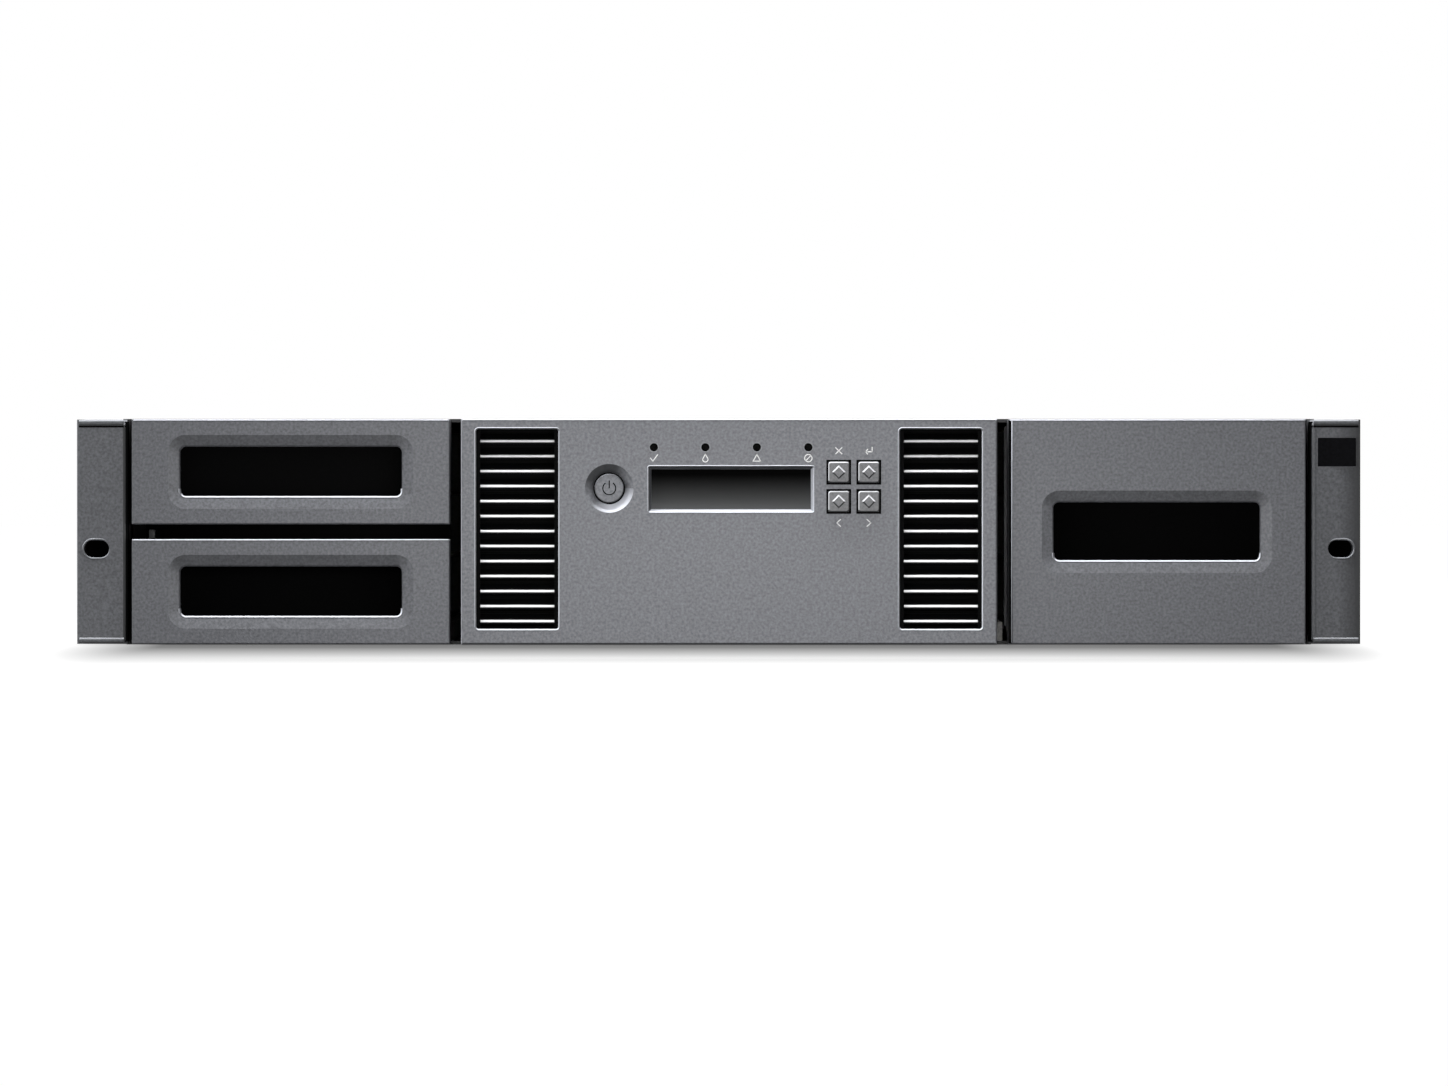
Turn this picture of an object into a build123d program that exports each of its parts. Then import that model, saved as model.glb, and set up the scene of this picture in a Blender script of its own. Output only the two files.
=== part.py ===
# Data tape library, two rack units high, with two pull-out magazines,
# a single-cartridge mail slot, a cartridge robot and one tape drive.
# Millimetres. +X is to the right of a person facing the front, +Y runs to
# the rear, +Z is up. The origin is under the middle of the whole body.

import os
from math import atan, cos, degrees, pi, radians, sin, sqrt, tan

from build123d import *

os.makedirs("parts", exist_ok=True)

# Cartridge and the cells that hold it
cartridge_width = 105.4
cartridge_length = 102.0
cartridge_height = 21.5
cell_side_room = 1.1
cell_headroom = 1.7
cell_shelf = 1.3
cell_base = 1.5
cell_side_wall = 1.75
cell_back_wall = 2.0
rows = 3
columns = 4
left_cell_room = 9.0
right_cell_room = 6.1

# Sheet-metal body
sheet = 1.2
tray_sheet = 1.5
runner_height = 3.7
runner_width = 9.0
runner_margin = 4.0
runner_overrun = 4.0
guide_rise = 6.0
glide_gap = 0.3
side_gap = 1.5
cover_gap = 1.5
cover_flange = 14.0
screw_head_radius = 3.4
screw_head_height = 1.5
screw_shank_radius = 1.5
screw_length = 3.4
screw_play = 0.1
screw_chamfer = 0.4
screw_margin = 60.0
lid_front_gap = 4.0
duct_margin_x = 2.0
duct_margin_z = 4.0

# Depths along the body, from the front fascia to the rear handle
finger_room = 45.0
magazine_tail = 48.0
robot_room = 32.0
drive_length = 232.9
rear_reach = 10.0
fascia_depth = 20.0

# Front fascia and the three magazine panels
fascia_width = 200.0
fascia_offset = 3.9
fascia_wall = 2.2
fascia_edge = 0.8
floor_reveal = 0.3
panel_step = 0.1
panel_setback = 3.0
panel_depth = 16.5
panel_wall = 4.5
panel_shell = 2.0
panel_edge = 0.6
panel_reveal = 4.3
panel_inset = 0.5
panel_split = 5.6
left_grip_margin = 17.95
left_grip_height = 18.8
right_grip_margin = 16.85
right_grip_height = 22.0
grip_corner = 2.2
grip_dish = 4.4
grip_sink = 1.5
grip_lip = 1.0
pocket_wall = 1.5
pocket_undercut = 2.2

# Rack ears
ear_reach = 16.5
ear_plate = 2.0
ear_leg = 42.0
ear_inset = 7.0
ear_overlap = 0.5
ear_roll = 2.3
ear_crown = 1.4
ear_bevel = 2.3
ear_groove = 0.6
ear_edge = 0.7
ear_cap_wall = 2.0
ear_hollow_margin = 1.0
ear_gap = 0.3
ear_leg_drop = 2.0
rack_hole_spacing = 465.1
slot_reach = 9.05
rack_hole_drop = 6.35
rack_slot_length = 10.0
rack_slot_width = 7.0
badge_width = 14.4
badge_height = 10.8
badge_thickness = 1.2
badge_drop = 12.2
badge_offset = 0.6
badge_play = 0.2

# Vent grilles
vent_width = 31.6
vent_height = 75.5
vent_inset = 21.0
vent_z = 43.4
vent_corner = 1.0
vent_rim = 2.2
vent_lip = 0.8
fin_count = 13
fin_pitch = 5.6
fin_depth = 7.0
fin_thickness = 1.7
fin_tilt = 24.0
fin_setback = 1.6

# Operator panel
button_margin = 18.5
button_z = 58.6
button_radius = 5.5
button_gap = 0.45
button_recess = 0.5
dish_radius = 9.1
dish_depth = 1.9
lamp_count = 4
lamp_inset = 2.25
lamp_z = 73.9
lamp_radius = 1.6
lamp_recess = 0.9
lamp_gap = 0.1
lamp_dome = 0.5
display_left_gap = 14.4
display_right_gap = 14.7
display_z = 58.25
display_height = 17.5
display_bevel = 1.3
lens_thickness = 1.0
module_margin = 1.0
key_margin = 16.7
key_z = 59.15
key_pitch_x = 11.2
key_pitch_z = 10.9
key_size = 7.8
key_gap = 0.55
key_corner = 1.0
key_proud = 1.2
key_flange = 0.9
key_edge = 0.5
flange_gap = 0.2
diamond_side = 3.7
diamond_height = 0.9
diamond_draft = 30.0
press_travel = 0.8
board_thickness = 1.6
switch_size = 6.0
switch_height = 1.9
switch_gap = 0.1
board_margin = 13.0
board_headroom = 0.5
standoff_radius = 2.5
standoff_inset = 3.0
standoff_rise = 34.0

# Robot
robot_plate = 1.5
robot_gap = 0.3
lift_plate = 2.2
turn_radius = 78.3
carriage_plate = 1.6
carriage_wall = 2.0
carriage_roof = 1.2
cage_side_room = 0.8
cage_headroom = 0.4
sled_end = 6.5
post_inset = 9.4
post_spread_y = 127.0
post_radius = 3.0
bush_wall = 2.0
bush_height = 14.0
running_gap = 0.05
hub_radius = 16.0
pivot_radius = 8.0
crossbar = 1.4
crossbar_width = 10.0
lightening_radius = 26.0
platform_radius = 35.2
crossbar_headroom = 0.5
roof_margin = 15.0
roof_corner = 6.0
stage_length = 75.0
stage_ahead = 1.0
stage_corner = 3.0
stage_proud = 0.2
stage_width = 20.0
stage_thickness = 1.3
gripper_length = 24.0
gripper_width = 44.0
gripper_height = 15.0
finger_length = 26.0
finger_thickness = 2.4
finger_height = 8.0
finger_inset = 8.0
finger_lift = 4.0
finger_root = 2.0
hook_size = 4.0
gripper_corner = 4.0
gear_module = 1.0
pinion_teeth = 18
pressure_angle = 20.0
dedendum = 1.25
tooth_relief = 0.004
tooth_sink = 0.05
gear_width = 4.0
gear_lift = 0.5
gear_headroom = 0.4
mesh_play = 0.25
rail_back = 3.0
rail_height = 7.0
rail_margin = 1.3
rail_front_gap = 6.0
rail_rear_gap = 8.0
shoe_length = 16.0
shoe_web = 2.4
travel_motor_radius = 10.0
travel_motor_height = 34.0
bridge_leg = 2.5
bridge_room = 1.0
lift_motor_radius = 10.0
lift_motor_height = 14.0
motor_shaft_radius = 1.5
motor_chamfer = 0.8
home_column = 3

# Rear modules: drive and its carrier
drive_width = 148.0
drive_height = 41.0
drive_mouth_lip = 6.0
drive_mouth_flare = 2.5
drive_mouth_drop = 0.2
drive_mouth_depth = 62.0
drive_tail = 18.9
drive_chamfer = 1.0
recess_count = 4
recess_pitch = 30.0
recess_margin = 25.0
recess_width = 8.0
recess_depth = 0.8
bay_side_gap = 0.6
bay_play = 0.4
shelf_setback = 6.0
carrier_setback = 14.0
carrier_side_drop = 8.0
carrier_flange = 11.0
carrier_lap_down = 1.2
carrier_lap_up = 3.0
carrier_vent_x = 38.0
carrier_vent_pitch = 4.6
carrier_vent_radius = 1.9
carrier_vent_columns = 8
carrier_vent_rows = 6
carrier_port_x = 42.0
carrier_port_rise = 4.0
carrier_port_pitch = 24.0
carrier_port_width = 16.0
carrier_port_height = 7.0
carrier_port_corner = 0.8
handle_width = 46.0
handle_rod = 2.0
handle_shift = 8.0
handle_rise = 6.0
handle_bend = 3.5
thumbscrew_radius = 4.5
thumbscrew_reach = 7.0
thumbscrew_shank = 1.7
thumbscrew_play = 0.1
thumbscrew_tip = 3.0
thumbscrew_chamfer = 0.6

# Rear modules: power supply and mains inlet
supply_height = 40.0
supply_length = 190.0
supply_gap = 4.0
supply_margin_x = 6.0
supply_margin_z = 5.0
supply_chamfer = 0.8
supply_vent_inset = 40.0
supply_vent_pitch = 5.0
supply_vent_radius = 2.0
supply_vent_depth = 3.0
supply_vent_columns = 11
supply_vent_rows = 5
inlet_inset = 26.0
inlet_width = 27.0
inlet_height = 20.0
inlet_depth = 18.0
inlet_flange = 1.5
inlet_wall_x = 1.5
inlet_wall_z = 2.0
inlet_floor = 2.0
inlet_pin_pitch = 7.0
inlet_pin_width = 2.0
inlet_pin_height = 4.0
inlet_pin_drop = 2.0
inlet_pin_root = 1.0
inlet_pin_length = 12.0

# Rear modules: fan and controller card
fan_size = 60.0
fan_depth = 15.0
fan_corner = 3.0
fan_screw_inset = 5.0
fan_screw_radius = 2.1
fan_bore_radius = 28.0
fan_hub_radius = 13.0
fan_strut_turns = (30, 90, 150)
fan_strut_width = 3.0
fan_strut_depth = 2.0
fan_strut_lap = 1.0
fan_shaft_length = 8.0
fan_blades = 7
fan_tip_gap = 0.8
fan_blade_pitch = 38.0
fan_blade_chord = 11.0
fan_blade_thickness = 1.2
fan_blade_corner = 1.2
rotor_front_gap = 0.6
rotor_rear_gap = 1.4
rotor_edge = 2.0
guard_rings = 3
guard_pitch = 6.4
guard_slot = 4.2
guard_spoke = 3.0
port_plate_width = 34.0
port_plate_gap = 2.0
port_margin = 4.0
port_window_rise = 3.0
jack_count = 3
jack_pitch = 19.0
jack_width = 16.0
jack_height = 14.0
jack_length = 16.0
jack_mouth_width = 12.5
jack_mouth_height = 9.5
jack_mouth_depth = 12.0
card_length = 170.0
card_inset = 3.0
card_headroom = 6.0
# Distance along the card, height, side and thickness: a processor and its heat sink
card_blocks = ((34.0, 30.0, 27.0, 3.0), (88.0, 44.0, 35.0, 9.0))

# Levels worked out from the sizes above
cell_width = cartridge_width + cell_side_room
cell_height = cartridge_height + cell_headroom
column_pitch = cell_width + 2 * cell_side_wall
row_pitch = cell_height + cell_shelf
tray_bottom = sheet + runner_height + glide_gap
block_bottom = tray_bottom + tray_sheet
first_floor = block_bottom + cell_base
block_top = first_floor + rows * row_pitch - cell_shelf + cell_base
cover_bottom = block_top + cover_gap
body_height = cover_bottom + sheet

body_half = rack_hole_spacing / 2 - slot_reach
wall_outer = body_half - sheet
wall_inner = wall_outer - sheet
ear_outer = body_half + ear_reach
magazine_outer = wall_inner - side_gap
left_depth = cartridge_length + left_cell_room
right_depth = cartridge_length + right_cell_room
left_inner = magazine_outer - tray_sheet - cell_back_wall - left_depth
right_inner = magazine_outer - tray_sheet - cell_back_wall - right_depth
aisle_half = (left_inner + right_inner) / 2
aisle_x = (right_inner - left_inner) / 2

key_reach = key_proud + diamond_height
overall_depth = key_reach + finger_room + columns * column_pitch + magazine_tail
overall_depth += robot_room + drive_length + rear_reach
front_y = key_reach - overall_depth / 2
chassis_front = front_y + fascia_depth
panel_front = front_y + panel_setback
panel_back = panel_front + panel_depth
blocks_start = front_y + finger_room
blocks_end = blocks_start + columns * column_pitch
magazine_end = blocks_end + magazine_tail
drive_front = magazine_end + robot_room
chassis_rear = drive_front + drive_length
ear_front = front_y + ear_inset

fascia_left = fascia_offset - fascia_width / 2
fascia_right = fascia_offset + fascia_width / 2
vent_offset = fascia_width / 2 - vent_inset
button_x = fascia_offset - vent_offset + vent_width / 2 + button_margin
key_x = fascia_offset + vent_offset - vent_width / 2 - key_margin
display_x = (button_x + display_left_gap + key_x - display_right_gap) / 2
display_width = key_x - display_right_gap - button_x - display_left_gap
lamp_pitch = (display_width - 2 * lamp_inset) / (lamp_count - 1)
left_panel = (-magazine_outer + panel_inset, fascia_left - panel_reveal)
right_panel = (fascia_right + panel_reveal, magazine_outer - panel_inset)
panel_bottom = floor_reveal + panel_step
panel_top = body_height - floor_reveal
half_panel = (panel_top - panel_bottom - panel_split) / 2


def facing(y):
    """A sketch plane across the body at y: its x is X and its y is Z."""
    return Plane.XZ.offset(-y)


def save(piece, node):
    piece.part.label = node
    export_step(piece.part, f"parts/{node}.step")


def save_joined(pieces, node):
    """Writes pieces that are welded or pressed together, face to face, as one node."""
    joined = Compound([solid for piece in pieces for solid in piece.part.solids()])
    joined.label = node
    export_step(joined, f"parts/{node}.step")


def block(xs, ys, zs, mode=Mode.ADD):
    """A plain block between two places along each axis."""
    middle = [(a + b) / 2 for a, b in (xs, ys, zs)]
    with Locations(tuple(middle)):
        Box(xs[1] - xs[0], ys[1] - ys[0], zs[1] - zs[0], mode=mode)


def mirrored(a, b, side):
    """The span from a to b, on the right for side 1 and on the left for side -1."""
    return (a, b) if side > 0 else (-b, -a)


# Body: floor and side walls folded from one sheet
with BuildPart() as chassis_pan:
    with BuildSketch(facing(chassis_front)):
        with BuildLine():
            Polyline(
                (-wall_outer, cover_bottom),
                (-wall_outer, 0),
                (wall_outer, 0),
                (wall_outer, cover_bottom),
                (wall_inner, cover_bottom),
                (wall_inner, sheet),
                (-wall_inner, sheet),
                (-wall_inner, cover_bottom),
                close=True,
            )
        make_face()
    extrude(amount=-(chassis_rear - chassis_front))
    screw_ys = [
        chassis_front + screw_margin + (chassis_rear - chassis_front) * n / 4 for n in range(4)
    ]
    screw_z = cover_bottom - cover_flange / 2
    with BuildSketch(Plane.YZ.offset(-wall_outer)):
        with Locations(*[(y, screw_z) for y in screw_ys]):
            Circle(screw_shank_radius + screw_play)
    extrude(amount=2 * wall_outer, mode=Mode.SUBTRACT)
save(chassis_pan, "chassis_pan")

# Body: lid with a rail welded under each long edge, which laps the side wall
lid_rail_start = chassis_front + ear_plate + lid_front_gap
with BuildPart() as lid_plate:
    block((-body_half, body_half), (chassis_front, chassis_rear), (cover_bottom, body_height))
lid_pieces = [lid_plate]
for side in (-1, 1):
    with BuildPart() as lid_rail:
        block(
            mirrored(wall_outer, body_half, side),
            (lid_rail_start, chassis_rear),
            (cover_bottom - cover_flange, cover_bottom),
        )
        with BuildSketch(Plane.YZ.offset(-body_half)):
            with Locations(*[(y, screw_z) for y in screw_ys]):
                Circle(screw_shank_radius + screw_play)
        extrude(amount=2 * body_half, mode=Mode.SUBTRACT)
    lid_pieces.append(lid_rail)
save_joined(lid_pieces, "top_cover")

with BuildPart() as cover_screws:
    for side in (-1, 1):
        for y in screw_ys:
            with BuildSketch(Plane.YZ.offset(side * body_half)):
                with Locations((y, screw_z)):
                    Circle(screw_head_radius)
            extrude(amount=side * screw_head_height)
            with BuildSketch(Plane.YZ.offset(side * body_half)):
                with Locations((y, screw_z)):
                    Circle(screw_shank_radius)
            extrude(amount=-side * screw_length)
    chamfer(cover_screws.edges().group_by(Axis.X)[0], screw_chamfer)
    chamfer(cover_screws.edges().group_by(Axis.X)[-1], screw_chamfer)
save(cover_screws, "cover_screws")

# Body: front bulkhead behind the fascia, open behind the vents
with BuildPart() as front_bulkhead:
    with BuildSketch(facing(chassis_front)):
        with Locations((fascia_offset, (sheet + cover_bottom) / 2)):
            Rectangle(fascia_width - 2 * fascia_wall, cover_bottom - sheet)
        with Locations(
            (fascia_offset - vent_offset, vent_z), (fascia_offset + vent_offset, vent_z)
        ):
            Rectangle(
                vent_width - 2 * duct_margin_x,
                vent_height - 2 * duct_margin_z,
                mode=Mode.SUBTRACT,
            )
    extrude(amount=-sheet)
save(front_bulkhead, "front_bulkhead")

# Rear panel with its module windows
drive_x = (aisle_x - drive_width / 2, aisle_x + drive_width / 2)
drive_z = (sheet + bay_play, sheet + bay_play + drive_height)
supply_x = (-wall_inner + supply_gap, drive_x[0] - 2 * supply_gap)
supply_z = (sheet, sheet + supply_height)
port_x = (drive_x[1] + 2 * supply_gap, drive_x[1] + 2 * supply_gap + port_plate_width)
fan_x = (port_x[1] + wall_inner) / 2
screw_places = [
    (drive_x[0] - carrier_flange / 2, sum(drive_z) / 2),
    (drive_x[1] + carrier_flange / 2, sum(drive_z) / 2),
]
fan_z = (sheet + cover_bottom) / 2
rear_ys = (chassis_rear - sheet, chassis_rear)
with BuildPart() as rear_panel:
    with BuildSketch(facing(rear_ys[0])):
        with Locations((0, (sheet + cover_bottom) / 2)):
            Rectangle(2 * wall_inner, cover_bottom - sheet)
        with Locations((aisle_x, (drive_z[0] + drive_z[1]) / 2)):
            Rectangle(
                drive_width + 2 * bay_side_gap,
                drive_height + 2 * bay_play,
                mode=Mode.SUBTRACT,
            )
        with Locations((sum(supply_x) / 2, sum(supply_z) / 2)):
            Rectangle(
                supply_x[1] - supply_x[0] - 2 * supply_margin_x,
                supply_height - 2 * supply_margin_z,
                mode=Mode.SUBTRACT,
            )
        with Locations((sum(port_x) / 2, fan_z)):
            Rectangle(
                port_plate_width - 2 * port_margin,
                fan_size + 2 * port_window_rise,
                mode=Mode.SUBTRACT,
            )
        with Locations(*screw_places):
            Circle(thumbscrew_shank + thumbscrew_play, mode=Mode.SUBTRACT)
        # Finger guard: ring slots cut through the sheet, with four spokes left
        for ring in range(guard_rings):
            ring_radius = fan_bore_radius - guard_pitch * ring
            with Locations((fan_x, fan_z)):
                Circle(ring_radius, mode=Mode.SUBTRACT)
                Circle(ring_radius - guard_slot)
        with Locations((fan_x, fan_z)):
            for turn in (45, 135):
                Rectangle(2 * fan_bore_radius, guard_spoke, rotation=turn)
    extrude(amount=-sheet)
save(rear_panel, "rear_panel")

# Front fascia: moulded shell with the vent, lamp, display and key openings
key_places = [
    (key_x + i * key_pitch_x / 2, key_z + k * key_pitch_z / 2)
    for k in (1, -1)
    for i in (-1, 1)
]
lamp_places = [
    (display_x + (n - (lamp_count - 1) / 2) * lamp_pitch, lamp_z) for n in range(lamp_count)
]
vent_places = [
    (fascia_offset - vent_offset, vent_z),
    (fascia_offset + vent_offset, vent_z),
]
fascia_bottom = floor_reveal
fascia_top = panel_top + panel_step
with BuildPart() as front_fascia:
    with BuildSketch(facing(front_y)):
        with Locations((fascia_offset, (fascia_bottom + fascia_top) / 2)):
            Rectangle(fascia_width, fascia_top - fascia_bottom)
    extrude(amount=-fascia_depth)
    offset(
        amount=-fascia_wall,
        openings=front_fascia.faces().sort_by(Axis.Y)[-1],
        mode=Mode.REPLACE,
    )
    front_edges = front_fascia.faces().sort_by(Axis.Y)[0].edges()
    fillet(front_edges, fascia_edge)
    with BuildSketch(facing(front_y)):
        with Locations(*vent_places):
            RectangleRounded(vent_width, vent_height, vent_corner)
    extrude(amount=-fascia_wall, mode=Mode.SUBTRACT)
    # Round dish around the power button, then the bore for the button
    with BuildSketch(facing(front_y)):
        with Locations((button_x, button_z)):
            Circle(dish_radius)
    with BuildSketch(facing(front_y + dish_depth)):
        with Locations((button_x, button_z)):
            Circle(button_radius + button_gap)
    loft(mode=Mode.SUBTRACT)
    with BuildSketch(facing(front_y)):
        with Locations((button_x, button_z)):
            Circle(button_radius + button_gap)
        with Locations(*lamp_places):
            Circle(lamp_radius)
        with Locations(*key_places):
            RectangleRounded(
                key_size + 2 * key_gap, key_size + 2 * key_gap, key_corner + key_gap
            )
    extrude(amount=-fascia_wall, mode=Mode.SUBTRACT)
    # Display opening with sloping sides
    with BuildSketch(facing(front_y)):
        with Locations((display_x, display_z)):
            Rectangle(display_width, display_height)
    with BuildSketch(facing(front_y + fascia_wall)):
        with Locations((display_x, display_z)):
            Rectangle(
                display_width - 2 * display_bevel, display_height - 2 * display_bevel
            )
    loft(mode=Mode.SUBTRACT)
save(front_fascia, "front_fascia")

# Vent grilles: a rim behind each window, crossed by tilted rounded fins
for node, place in zip(("left_vent_grille", "right_vent_grille"), vent_places):
    with BuildPart() as vent_grille:
        with BuildSketch(facing(front_y + fascia_wall)):
            with Locations(place):
                Rectangle(vent_width + 2 * vent_rim, vent_height + 2 * vent_lip)
                Rectangle(vent_width, vent_height, mode=Mode.SUBTRACT)
        extrude(amount=-fin_depth)
        fin_y = front_y + fin_setback + fin_depth / 2
        with BuildSketch(Plane.YZ.offset(place[0] - vent_width / 2)):
            with Locations((fin_y, vent_z)):
                with GridLocations(0, fin_pitch, 1, fin_count):
                    SlotOverall(fin_depth, fin_thickness, rotation=fin_tilt)
        extrude(amount=vent_width)
    save(vent_grille, node)

# Power button and the four keys, each with a flange that keeps it in
flange_front = front_y + fascia_wall + flange_gap
with BuildPart() as power_button:
    with BuildSketch(facing(front_y + button_recess)):
        with Locations((button_x, button_z)):
            Circle(button_radius)
    extrude(amount=-(flange_front - front_y - button_recess))
    with BuildSketch(facing(flange_front)):
        with Locations((button_x, button_z)):
            Circle(button_radius + button_gap + key_flange)
    extrude(amount=-key_flange)
    front_rim = power_button.faces().sort_by(Axis.Y)[0].edges()
    fillet(front_rim, key_edge)
save(power_button, "power_button")

key_names = ("cancel_key", "enter_key", "previous_key", "next_key")
for node, place in zip(key_names, key_places):
    with BuildPart() as panel_key:
        with BuildSketch(facing(front_y - key_proud)):
            with Locations(place):
                RectangleRounded(key_size, key_size, key_corner)
        extrude(amount=-(flange_front - front_y + key_proud))
        fillet(panel_key.faces().sort_by(Axis.Y)[0].edges(), key_edge)
        # Raised four-sided diamond in the middle of the cap
        with BuildSketch(facing(front_y - key_proud)):
            with Locations(place):
                Rectangle(diamond_side, diamond_side, rotation=45)
        extrude(amount=diamond_height, taper=diamond_draft)
        flange_side = key_size + 2 * key_gap + key_flange
        with BuildSketch(facing(flange_front)):
            with Locations(place):
                Rectangle(flange_side, flange_side)
        extrude(amount=-key_flange)
    save(panel_key, node)

# Display lens, display module, lamps and the control board behind them
lens_front = front_y + fascia_wall
with BuildPart() as display_lens:
    with BuildSketch(facing(lens_front)):
        with Locations((display_x, display_z)):
            Rectangle(display_width, display_height)
    extrude(amount=-lens_thickness)
save(display_lens, "display_lens")

switch_front = flange_front + key_flange + press_travel + switch_gap
board_front = switch_front + switch_height
with BuildPart() as display_module:
    with BuildSketch(facing(lens_front + lens_thickness)):
        with Locations((display_x, display_z)):
            Rectangle(display_width + 2 * module_margin, display_height + 2 * module_margin)
    extrude(amount=-(board_front - lens_front - lens_thickness))
save(display_module, "display_module")

with BuildPart() as status_lamps:
    with BuildSketch(facing(front_y + lamp_recess)):
        with Locations(*lamp_places):
            Circle(lamp_radius - lamp_gap)
    extrude(amount=-(board_front - front_y - lamp_recess))
    fillet(status_lamps.edges().group_by(Axis.Y)[0], lamp_dome)
save(status_lamps, "status_lamps")

board_width = key_x - button_x + 2 * board_margin
board_height = 2 * (fascia_top - fascia_wall - key_z - board_headroom)
with BuildPart() as control_board:
    with BuildSketch(facing(board_front)):
        with Locations(((button_x + key_x) / 2, key_z)):
            Rectangle(board_width, board_height)
    extrude(amount=-board_thickness)
    with BuildSketch(facing(switch_front)):
        with Locations((button_x, button_z), *key_places):
            Rectangle(switch_size, switch_size)
    extrude(amount=-(board_front - switch_front))
    # Stand-offs that carry the board on the bulkhead
    with BuildSketch(facing(board_front + board_thickness)):
        with Locations(((button_x + key_x) / 2, key_z)):
            with GridLocations(board_width - 2 * standoff_inset, standoff_rise, 2, 2):
                Circle(standoff_radius)
    extrude(amount=-(chassis_front - board_front - board_thickness))
save(control_board, "control_board")

# Rack ears: folded bracket and the moulded cap in front of it
slot_z = body_height / 2 - rack_hole_drop
badge_x = (wall_inner + ear_outer) / 2 + badge_offset
for side, name in ((-1, "left"), (1, "right")):
    slot_place = (side * rack_hole_spacing / 2, slot_z)
    with BuildPart() as ear_bracket:
        block(
            mirrored(wall_outer, ear_outer, side),
            (chassis_front, chassis_front + ear_plate),
            (panel_bottom, cover_bottom - ear_gap),
        )
        block(
            mirrored(wall_outer, wall_outer + ear_plate, side),
            (chassis_front, chassis_front + ear_leg),
            (panel_bottom, cover_bottom - cover_flange - ear_leg_drop),
        )
        with BuildSketch(facing(chassis_front)):
            with Locations(slot_place):
                SlotOverall(rack_slot_length, rack_slot_width)
        extrude(amount=-ear_plate, mode=Mode.SUBTRACT)
    save(ear_bracket, f"{name}_ear_bracket")

    cap_xs = mirrored(wall_inner - ear_overlap, ear_outer, side)
    inner_x, outer_x = side * (wall_inner - ear_overlap), side * ear_outer
    with BuildPart() as ear_cap:
        with BuildSketch(Plane.XY.offset(panel_bottom)):
            with BuildLine():
                crown_end = (outer_x, ear_front + ear_crown)
                crown_middle = ((inner_x + outer_x) / 2, ear_front + ear_crown / 4)
                Polyline((inner_x, ear_front), (inner_x, chassis_front), (outer_x, chassis_front))
                Line((outer_x, chassis_front), crown_end)
                ThreePointArc((inner_x, ear_front), crown_middle, crown_end)
            make_face()
        extrude(amount=panel_top - panel_bottom)
        fillet(ear_cap.edges().filter_by(Axis.Z).sort_by(Axis.Y)[0], ear_roll)
        outer_group = -1 if side > 0 else 0
        outer_uprights = ear_cap.edges().filter_by(Axis.Z).group_by(Axis.X)[outer_group]
        fillet(outer_uprights.sort_by(Axis.Y)[0], ear_edge)
        # Bevels along the top and the bottom, with a groove under the top one
        for level, lean in ((panel_top, -1), (panel_bottom, 1)):
            with BuildSketch(Plane.YZ.offset(cap_xs[0])):
                with BuildLine():
                    Polyline(
                        (ear_front, level),
                        (ear_front, level + lean * ear_bevel),
                        (ear_front + ear_bevel / 2, level),
                        close=True,
                    )
                make_face()
            extrude(amount=cap_xs[1] - cap_xs[0], mode=Mode.SUBTRACT)
        block(
            cap_xs,
            (ear_front, ear_front + ear_groove),
            (panel_top - ear_bevel - ear_groove, panel_top - ear_bevel),
            mode=Mode.SUBTRACT,
        )
        # Hollow back, with a collar left round the slot
        block(
            (cap_xs[0] + ear_cap_wall, cap_xs[1] - ear_cap_wall),
            (ear_front + ear_cap_wall, chassis_front),
            (
                panel_bottom + ear_bevel + ear_hollow_margin,
                panel_top - ear_bevel - ear_hollow_margin,
            ),
            mode=Mode.SUBTRACT,
        )
        with BuildSketch(facing(ear_front + ear_cap_wall)):
            with Locations(slot_place):
                SlotOverall(
                    rack_slot_length + 2 * ear_cap_wall,
                    rack_slot_width + 2 * ear_cap_wall,
                )
        extrude(amount=-(chassis_front - ear_front - ear_cap_wall))
        with BuildSketch(facing(ear_front)):
            with Locations(slot_place):
                SlotOverall(rack_slot_length, rack_slot_width)
        extrude(amount=-(chassis_front - ear_front), mode=Mode.SUBTRACT)
        # The collar may not reach past the cap's own sides
        block(
            (cap_xs[0], cap_xs[1]),
            (ear_front, chassis_front),
            (panel_bottom, panel_top),
            mode=Mode.INTERSECT,
        )
        if side > 0:
            with BuildSketch(facing(ear_front)):
                with Locations((badge_x, panel_top - badge_drop)):
                    Rectangle(badge_width, badge_height)
            extrude(amount=-ear_crown, mode=Mode.SUBTRACT)
    save(ear_cap, f"{name}_ear_cap")

with BuildPart() as badge_plate:
    with BuildSketch(facing(ear_front + ear_crown - badge_thickness)):
        with Locations((badge_x, panel_top - badge_drop)):
            Rectangle(badge_width - badge_play, badge_height - badge_play)
    extrude(amount=-badge_thickness)
save(badge_plate, "badge_plate")

# Runners that the magazines slide on: two strips and an outer guide for each
runner_ys = (chassis_front + ear_plate, magazine_end + runner_overrun)
with BuildPart() as magazine_runners:
    for side, inner in ((-1, left_inner), (1, right_inner)):
        for start in (magazine_outer - runner_width, inner + runner_margin):
            strip = mirrored(start, start + runner_width, side)
            block(strip, runner_ys, (sheet, sheet + runner_height))
        guide = mirrored(magazine_outer + glide_gap, wall_inner, side)
        guide_ys = (chassis_front + ear_leg, runner_ys[1])
        block(guide, guide_ys, (sheet, sheet + runner_height + guide_rise))
save(magazine_runners, "magazine_runners")


# Magazine parts
def cells_middle(levels):
    """Height of the middle of a stack of cells."""
    return first_floor + cell_height / 2 + (levels - 1) * row_pitch / 2


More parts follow.
